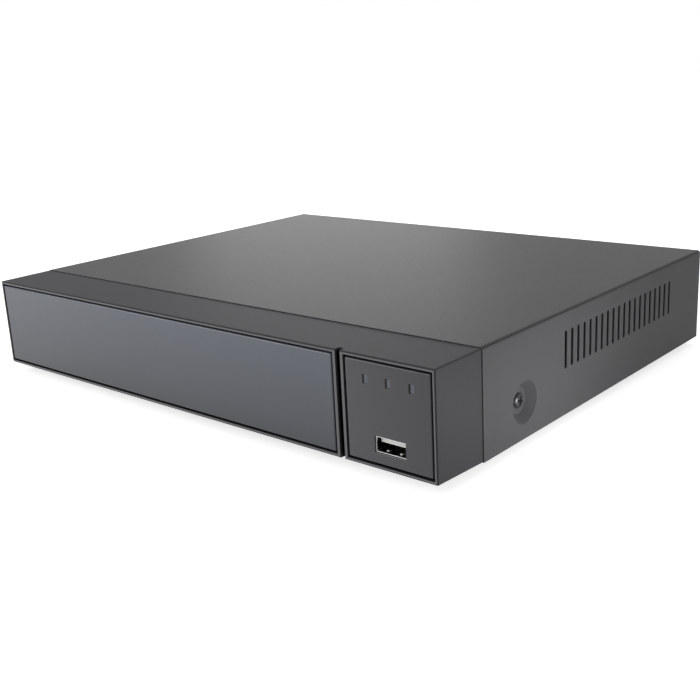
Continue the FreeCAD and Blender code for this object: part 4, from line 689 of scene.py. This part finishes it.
def polish_rim_with_painted_light(mesh):
    # The forward faces get the lighter rim finish: real polish together with painted light.
    polished = added_finish(mesh, make_rim_gloss())
    for face in mesh.polygons:
        in_front = abs(face.center.y - bezel_low.y) < FRONT_DEPTH
        if face.normal.y < -FACING_FRONT and in_front:
            face.material_index = polished


def brighten_springs(mesh):
    # Sloped faces get the tin without its painted shade, so the springs stay bright behind the
    # mouth.
    bright = added_finish(mesh, FINISHES["tinned_steel"])
    for face in mesh.polygons:
        sloped = max(abs(part) for part in face.normal) < SLOPED
        if face.material_index == 0 and sloped:
            face.material_index = bright


def paint_shade_in_slots(mesh):
    # The rounded slot edges in the cover's side walls get a black finish as painted shade.
    low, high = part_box("top_cover")
    dark = added_finish(mesh, FINISHES["black_plastic"])
    depth, level, radius = DIMPLE_ZONE
    for face in mesh.polygons:
        centre = face.center
        inset = min(centre.x - low.x, high.x - centre.x)
        rise = min(centre.z - low.z, high.z - centre.z)
        from_dimple = (Vector((0, centre.y, centre.z)) - Vector((0, depth, level))).length
        in_wall = inset < WALL_DEPTH and rise > SLOTS_FROM_EDGE
        behind_seam = centre.y > low.y + SLOTS_FROM_EDGE and from_dimple > radius
        if face.material_index == EDGE_FINISH and in_wall and behind_seam:
            face.material_index = dark


# %% A rounded copy of a solid
SHARP_EDGE = radians(28)
SHARP_SHADING = radians(50)
ROUND_STEPS = 2
FLAT_WEIGHT = 80


def rounded_copy(node, radius, edge_finish=None, touch_up=None):
    surface = merged_mesh(node)
    mesh = bpy.data.meshes.new(node + "_rounded")
    surface.to_mesh(mesh)
    surface.free()
    own = OWN_FINISHES.get(node, FINISHES[node_slots[node]])
    mesh.materials.append(own)
    mesh.materials.append(edge_finish or own)
    piece = linked(node + "_rounded", mesh)
    bevel = piece.modifiers.new("round", "BEVEL")
    bevel.width = radius
    bevel.segments = ROUND_STEPS
    bevel.material = EDGE_FINISH
    bevel.limit_method = "ANGLE"
    bevel.angle_limit = SHARP_EDGE
    bevel.use_clamp_overlap = True
    rounded = bake_modifiers(piece)
    rounded.polygons.foreach_set("use_smooth", [True] * len(rounded.polygons))
    rounded.set_sharp_from_angle(angle=SHARP_SHADING)
    flat = piece.modifiers.new("flat_faces_stay_flat", "WEIGHTED_NORMAL")
    flat.keep_sharp = True
    flat.weight = FLAT_WEIGHT
    made = bake_modifiers(piece)
    if touch_up:
        touch_up(made)
    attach(piece, body_of[node])
    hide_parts(node)
    print(piece.name, len(made.polygons), "faces")
    return piece


# %% The outer pieces, each with the radius of its making
# The rounded edges of the bezel and the cover get a lighter copy of their finish, five and one
# and a half times as light: a painted highlight along the edges.
BEZEL_EDGE_HIGHLIGHT = make_bezel_plastic("bezel_edge_highlight", 5.0)
COVER_EDGE_HIGHLIGHT = make_paint("cover_edge_highlight", "top_cover", COVER_SKIN, 1.5)
ROUNDED = [
    ("front_bezel", 0.35 * MM, BEZEL_EDGE_HIGHLIGHT, polish_rim_with_painted_light),
    ("left_front_plate", 0.2 * MM),
    ("indicator_plate", 0.2 * MM),
    ("top_cover", 0.25 * MM, COVER_EDGE_HIGHLIGHT, paint_shade_in_slots),
    ("base_tray", 0.12 * MM),
    ("rubber_feet", 0.4 * MM),
    ("usb_shells", 0.05 * MM, FINISHES["tinned_steel"], brighten_springs),
]
for row in ROUNDED:
    rounded_copy(*row)

# %% [markdown]
# ## Screws
# Twenty-nine screws hold the recorder together. Each is a button head with a cross recess
# and a shank. They could be modelled one by one, but a node tree makes one screw from
# named sizes and sets a copy on every seat, each turned by its own amount as a hand would
# leave it. The seats and sizes are measured from the plain solids that they stand for.

# %% A geometry tree with named inputs


class Tree(Nodes):
    """A geometry tree with named inputs and short arithmetic."""

    def __init__(self, name, inputs):
        group = bpy.data.node_groups.new(name, "GeometryNodeTree")
        super().__init__(group)
        group.interface.new_socket("Geometry", in_out="INPUT", socket_type="NodeSocketGeometry")
        for title, kind, value in inputs:
            socket = group.interface.new_socket(title, in_out="INPUT", socket_type=kind)
            if value is not None:
                socket.default_value = value
        group.interface.new_socket("Geometry", in_out="OUTPUT", socket_type="NodeSocketGeometry")
        self.given = self.add("NodeGroupInput").outputs
        self.group = group

    def times(self, first, second):
        return self.math("MULTIPLY", first, second)

    def xyz(self, x=0.0, y=0.0, z=0.0):
        return self.add("ShaderNodeCombineXYZ", X=x, Y=y, Z=z).outputs[0]

    def block(self, width, depth, height, level):
        """A block that is centred on the axis, with its middle at a level."""
        cube = self.add("GeometryNodeMeshCube", Size=self.xyz(width, depth, height))
        return self.add("GeometryNodeTransform", Geometry=cube,
                        Translation=self.xyz(z=level)).outputs[0]

    def boolean(self, operation, first, *others):
        node = self.add("GeometryNodeMeshBoolean", {"operation": operation})
        if operation == "DIFFERENCE":
            self.put(node.inputs["Mesh 1"], first)
        else:
            self.put(node.inputs["Mesh 2"], first)
        for other in others:
            self.put(node.inputs["Mesh 2"], other)
        return node.outputs["Mesh"]

    def finish_with(self, geometry, material):
        real = self.add("GeometryNodeRealizeInstances", Geometry=geometry)
        dressed = self.add("GeometryNodeSetMaterial", Geometry=real, Material=material)
        self.add("NodeGroupOutput", Geometry=dressed)
        return self.group


# %% One tree that makes a screw and sets it on every seat
SCREW_INPUTS = [
    ("Head Width", "NodeSocketFloat", 6.0 * MM),
    ("Head Height", "NodeSocketFloat", 1.2 * MM),
    ("Shank Width", "NodeSocketFloat", 3.0 * MM),
    ("Shank Length", "NodeSocketFloat", 5.0 * MM),
    ("Recess Share", "NodeSocketFloat", 0.56),
    ("Slot Share", "NodeSocketFloat", 0.15),
    ("Recess Depth Share", "NodeSocketFloat", 0.62),
    ("Seed", "NodeSocketInt", 4),
    ("Finish", "NodeSocketMaterial", None),
]
HEAD_SEGMENTS = 28
HEAD_RINGS = 16
SHANK_SIDES = 20
SUNK_SHARE = 0.2
# A Random Value node has sockets for each kind of value: these are for plain numbers.
NUMBER_LIMIT = 3
NUMBER_OUT = 1


def screw_head(tree):
    """A dome that is cut flat below and has two crossed slots in its crown."""
    given = tree.given
    head_width, head_height = given["Head Width"], given["Head Height"]
    radius = tree.times(head_width, 0.5)
    ball = tree.add("GeometryNodeMeshUVSphere", Segments=HEAD_SEGMENTS, Rings=HEAD_RINGS,
                    Radius=1.0)
    dome = tree.add("GeometryNodeTransform", Geometry=ball,
                    Scale=tree.xyz(radius, radius, head_height))
    twice = tree.times(head_height, 2.0)
    wide = tree.times(head_width, 2.0)
    below = tree.block(wide, wide, twice, tree.times(head_height, -1.0))
    recess = tree.times(head_width, given["Recess Share"])
    slot = tree.times(head_width, given["Slot Share"])
    depth = tree.times(tree.times(head_height, given["Recess Depth Share"]), 2.0)
    along = tree.block(recess, slot, depth, head_height)
    across = tree.block(slot, recess, depth, head_height)
    return tree.boolean("DIFFERENCE", dome, below, along, across)


def screw_shank(tree):
    """A rod that starts a little inside the head, so that the two join."""
    given = tree.given
    sunk = tree.times(given["Head Height"], SUNK_SHARE)
    length = tree.math("ADD", given["Shank Length"], sunk)
    rod = tree.add("GeometryNodeMeshCylinder", Vertices=SHANK_SIDES,
                   Radius=tree.times(given["Shank Width"], 0.5), Depth=length)
    middle_level = tree.math("SUBTRACT", sunk, tree.times(length, 0.5))
    return tree.add("GeometryNodeTransform", Geometry=rod.outputs["Mesh"],
                    Translation=tree.xyz(z=middle_level))


def screw_turn(tree):
    """Out of the seat, and then round its own axis by a random part of a quarter turn."""
    facing = tree.add("GeometryNodeInputNamedAttribute", {"data_type": "FLOAT_VECTOR"},
                      Name="facing")
    outward = tree.add("FunctionNodeAlignRotationToVector", {"axis": "Z"},
                       Vector=facing.outputs["Attribute"])
    turn = tree.add("FunctionNodeRandomValue", {"data_type": "FLOAT"}, Seed=tree.given["Seed"])
    turn.inputs[NUMBER_LIMIT].default_value = pi / 2
    twist = tree.add("FunctionNodeAxisAngleToRotation", Angle=turn.outputs[NUMBER_OUT],
                     Axis=(0.0, 0.0, 1.0))
    return tree.add("FunctionNodeRotateRotation", {"rotation_space": "LOCAL"},
                    Rotation=outward, Rotate_By=twist)


def make_screw_tree():
    tree = Tree("recessed_screws", SCREW_INPUTS)
    screw = tree.boolean("UNION", screw_head(tree), screw_shank(tree))
    copies = tree.add("GeometryNodeInstanceOnPoints", Points=tree.given["Geometry"],
                      Instance=screw, Rotation=screw_turn(tree))
    return tree.finish_with(copies, tree.given["Finish"])


SCREW_TREE = make_screw_tree()
print("screw tree:", len(SCREW_TREE.nodes), "nodes")

# %% [markdown]
# ### Seats and sizes
# A plain screw is a disc on a rod. Its axis is the one round which its box is as wide one
# way as the other, its rim lies far from that axis, and its tip is the end away from the
# rim. That is enough to find the seat, the way the head faces, and all four sizes.

# %% Seats and sizes, measured from the plain screws
RIM_SHARE = 0.45
TIP_WITHIN = 0.01 * MM


def islands(surface):
    """The separate solids of a mesh, each as a list of its corners."""
    left = set(surface.verts)
    while left:
        found = [left.pop()]
        for corner in found:
            for edge in corner.link_edges:
                other = edge.other_vert(corner)
                if other in left:
                    left.remove(other)
                    found.append(other)
        yield [corner.co.copy() for corner in found]


def box_of(corners):
    low = Vector([min(corner[axis] for corner in corners) for axis in range(3)])
    high = Vector([max(corner[axis] for corner in corners) for axis in range(3)])
    return low, high


def measure_screw(corners):
    """Where a plain screw sits, which way its head faces, and its four sizes."""
    low, high = box_of(corners)
    size = high - low
    axis = min(range(3), key=lambda each: abs(size[(each + 1) % 3] - size[(each + 2) % 3]))
    head_width = size[(axis + 1) % 3]
    centre = (low + high) / 2
    rim = []
    for corner in corners:
        away = corner - centre
        away[axis] = 0.0
        if away.length > head_width * RIM_SHARE:
            rim.append(corner[axis])
    rim_level = sum(rim) / len(rim)
    facing = 1 if high[axis] - rim_level < rim_level - low[axis] else -1
    under = min(rim) if facing > 0 else max(rim)
    top = high[axis] if facing > 0 else low[axis]
    tip = low[axis] if facing > 0 else high[axis]
    seat = centre.copy()
    seat[axis] = under
    direction = Vector((0.0, 0.0, 0.0))
    direction[axis] = facing
    tip_corners = [corner for corner in corners if abs(corner[axis] - tip) < TIP_WITHIN]
    tip_low, tip_high = box_of(tip_corners)
    shank_width = (tip_high - tip_low)[(axis + 1) % 3]
    return seat, direction, (head_width, abs(top - under), shank_width, abs(under - tip))


def set_inputs(modifier, values):
    """Gives a tree's inputs their values by the identifier of each socket."""
    for item in modifier.node_group.interface.items_tree:
        if item.in_out == "INPUT" and item.name in values:
            modifier[item.identifier] = values[item.name]


def seat_mesh(name, seats, facings):
    mesh = bpy.data.meshes.new(name)
    mesh.from_pydata(seats, [], [])
    facing = mesh.attributes.new("facing", "FLOAT_VECTOR", "POINT")
    facing.data.foreach_set("vector", [part for each in facings for part in each])
    return mesh


# %% All the screws of a node
SCREW_SHADING = radians(35)


def recessed_screws(node, seed):
    surface = merged_mesh(node)
    measured_screws = [measure_screw(corners) for corners in islands(surface)]
    surface.free()
    measured_screws.sort(key=lambda each: tuple(each[0]))
    seats = [each[0] for each in measured_screws]
    facings = [each[1] for each in measured_screws]
    head_width, head_height, shank_width, shank_length = measured_screws[0][2]
    mesh = seat_mesh(node + "_recessed", seats, facings)
    piece = linked(node + "_recessed", mesh)
    copies = piece.modifiers.new("screws", "NODES")
    copies.node_group = SCREW_TREE
    set_inputs(copies, {"Head Width": head_width, "Head Height": head_height,
                        "Shank Width": shank_width, "Shank Length": shank_length,
                        "Seed": seed, "Finish": FINISHES[node_slots[node]]})
    made = bake_modifiers(piece)
    made.polygons.foreach_set("use_smooth", [True] * len(made.polygons))
    made.set_sharp_from_angle(angle=SCREW_SHADING)
    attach(piece, body_of[node])
    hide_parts(node)
    sizes = [round(value / MM, 2) for value in measured_screws[0][2]]
    print(piece.name, "screws:", len(seats), "sizes:", sizes, "faces:", len(made.polygons))
    return piece


# %% The five kinds of screw
SCREW_NODES = ["cover_side_screws", "cover_rear_screws", "inner_screws", "disk_screws",
               "fan_screws"]
for seed, node in enumerate(SCREW_NODES):
    recessed_screws(node, seed)

# %% [markdown]
# ## Small parts on the main board
# Between the chips and sockets, a real board is full of resistors and ceramic capacitors
# no larger than a grain of rice. They are one shape, a body with two tinned ends, laid
# along or across the board. A tree makes the shape and copies it; plain code picks the
# spots, because it has to keep clear of everything that already stands on the board.

# %% One tree that lays small two-ended parts
CHIP_INPUTS = [
    ("Length", "NodeSocketFloat", 2.0 * MM),
    ("Width", "NodeSocketFloat", 1.25 * MM),
    ("Height", "NodeSocketFloat", 0.7 * MM),
    ("End Share", "NodeSocketFloat", 0.22),
    ("Seed", "NodeSocketInt", 7),
    ("Body Finish", "NodeSocketMaterial", None),
    ("End Finish", "NodeSocketMaterial", None),
]
BODY_SHARE = 0.94
# The whole-number sockets of a Random Value node.
WHOLE_LEAST = 4
WHOLE_LIMIT = 5
WHOLE_OUT = 2


def two_ended_part(tree):
    """A body between two caps, whose faces are marked as tinned."""
    given = tree.given
    length, width, height = given["Length"], given["Width"], given["Height"]
    end = tree.times(length, given["End Share"])
    body_length = tree.math("SUBTRACT", length, tree.times(end, 2.0))
    level = tree.times(height, 0.5)
    body = tree.block(body_length, tree.times(width, BODY_SHARE),
                      tree.times(height, BODY_SHARE), level)
    reach = tree.times(tree.math("ADD", body_length, end), 0.5)
    cap = tree.add("GeometryNodeMeshCube", Size=tree.xyz(end, width, height))
    caps = tree.add("GeometryNodeJoinGeometry")
    for side in (1.0, -1.0):
        place = tree.xyz(x=tree.times(reach, side), z=level)
        moved = tree.add("GeometryNodeTransform", Geometry=cap, Translation=place)
        tree.put(caps.inputs[0], moved)
    on_faces = {"data_type": "BOOLEAN", "domain": "FACE"}
    marked = tree.add("GeometryNodeStoreNamedAttribute", on_faces, Geometry=caps,
                      Name="tinned", Value=True)
    both = tree.add("GeometryNodeJoinGeometry")
    tree.put(both.inputs[0], body)
    tree.put(both.inputs[0], marked)
    return both


def quarter_turns(tree):
    """No turn or a quarter turn, at random."""
    turn = tree.add("FunctionNodeRandomValue", {"data_type": "INT"}, Seed=tree.given["Seed"])
    turn.inputs[WHOLE_LEAST].default_value = 0
    turn.inputs[WHOLE_LIMIT].default_value = 1
    angle = tree.times(turn.outputs[WHOLE_OUT], pi / 2)
    return tree.add("FunctionNodeAxisAngleToRotation", Angle=angle, Axis=(0.0, 0.0, 1.0))


def make_chip_tree():
    tree = Tree("two_ended_parts", CHIP_INPUTS)
    given = tree.given
    copies = tree.add("GeometryNodeInstanceOnPoints", Points=given["Geometry"],
                      Instance=two_ended_part(tree), Rotation=quarter_turns(tree))
    real = tree.add("GeometryNodeRealizeInstances", Geometry=copies)
    bodies = tree.add("GeometryNodeSetMaterial", Geometry=real, Material=given["Body Finish"])
    tinned = tree.add("GeometryNodeInputNamedAttribute", {"data_type": "BOOLEAN"},
                      Name="tinned")
    ends = tree.add("GeometryNodeSetMaterial", Geometry=bodies, Material=given["End Finish"],
                    Selection=tinned.outputs["Attribute"])
    tree.add("NodeGroupOutput", Geometry=ends)
    return tree.group


CHIP_TREE = make_chip_tree()
print("small part tree:", len(CHIP_TREE.nodes), "nodes")

# %% [markdown]
# ### Free spots
# The board is read as a grid. A place is used when a seeded draw picks it and nothing
# that stands on the board, or hangs just under it, comes near.

# %% Free spots on the board
SPOT_PITCH = 4.0 * MM
SPOT_CLEAR = 2.2 * MM
SPOT_SHARE = 0.45
NEAR_ABOVE = 1.0 * MM
NEAR_BELOW = 3.0 * MM
HOLLOW_WIDTH = 0.2
HOLLOW_HEIGHT = 0.02


def taken_areas(board):
    """Boxes of everything that stands just above the board.

    The case is wide and high and has the board inside its hollow, so it doesn't count.
    """
    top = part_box(board)[1].z
    areas = []
    for node in frame["nodes"]:
        if node == board:
            continue
        surface = welded_mesh(node)
        for corners in islands(surface):
            low, high = box_of(corners)
            hollow = high.x - low.x > HOLLOW_WIDTH and high.z - low.z > HOLLOW_HEIGHT
            if low.z < top + NEAR_ABOVE and high.z > top - NEAR_BELOW and not hollow:
                areas.append((low, high))
        surface.free()
    return areas


def is_clear(x, y, areas):
    """Whether a part at this place keeps its distance from all the areas."""
    return not any(low.x - SPOT_CLEAR < x < high.x + SPOT_CLEAR
                   and low.y - SPOT_CLEAR < y < high.y + SPOT_CLEAR for low, high in areas)


def free_spots(board, seed):
    low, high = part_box(board)
    areas = taken_areas(board)
    chance = Random(seed)
    spots = []
    columns = int((high.x - low.x) / SPOT_PITCH) - 1
    rows = int((high.y - low.y) / SPOT_PITCH) - 1
    for column in range(1, columns + 1):
        for row in range(1, rows + 1):
            x = low.x + column * SPOT_PITCH
            y = low.y + row * SPOT_PITCH
            if chance.random() < SPOT_SHARE and is_clear(x, y, areas):
                spots.append(Vector((x, y, high.z)))
    return spots


# %% The parts on the board
RESISTOR = (2.0 * MM, 1.25 * MM, 0.5 * MM)
CAPACITOR = (1.6 * MM, 0.8 * MM, 0.7 * MM)


def lay_small_parts(board, kind, spots, sizes, finish_name, seed):
    name = board + "_" + kind
    mesh = bpy.data.meshes.new(name)
    mesh.from_pydata(spots, [], [])
    piece = linked(name, mesh)
    copies = piece.modifiers.new("parts", "NODES")
    copies.node_group = CHIP_TREE
    length, width, height = sizes
    set_inputs(copies, {"Length": length, "Width": width, "Height": height, "Seed": seed,
                        "Body Finish": FINISHES[finish_name],
                        "End Finish": FINISHES["tinned_steel"]})
    made = bake_modifiers(piece)
    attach(piece, body_of[board])
    print(name, "parts:", len(spots), "faces:", len(made.polygons))
    return piece


board_spots = free_spots("main_board", 11)
lay_small_parts("main_board", "resistors", board_spots[0::2], RESISTOR, "chip_black", 3)
lay_small_parts("main_board", "ceramics", board_spots[1::2], CAPACITOR, "ceramic_tan", 5)
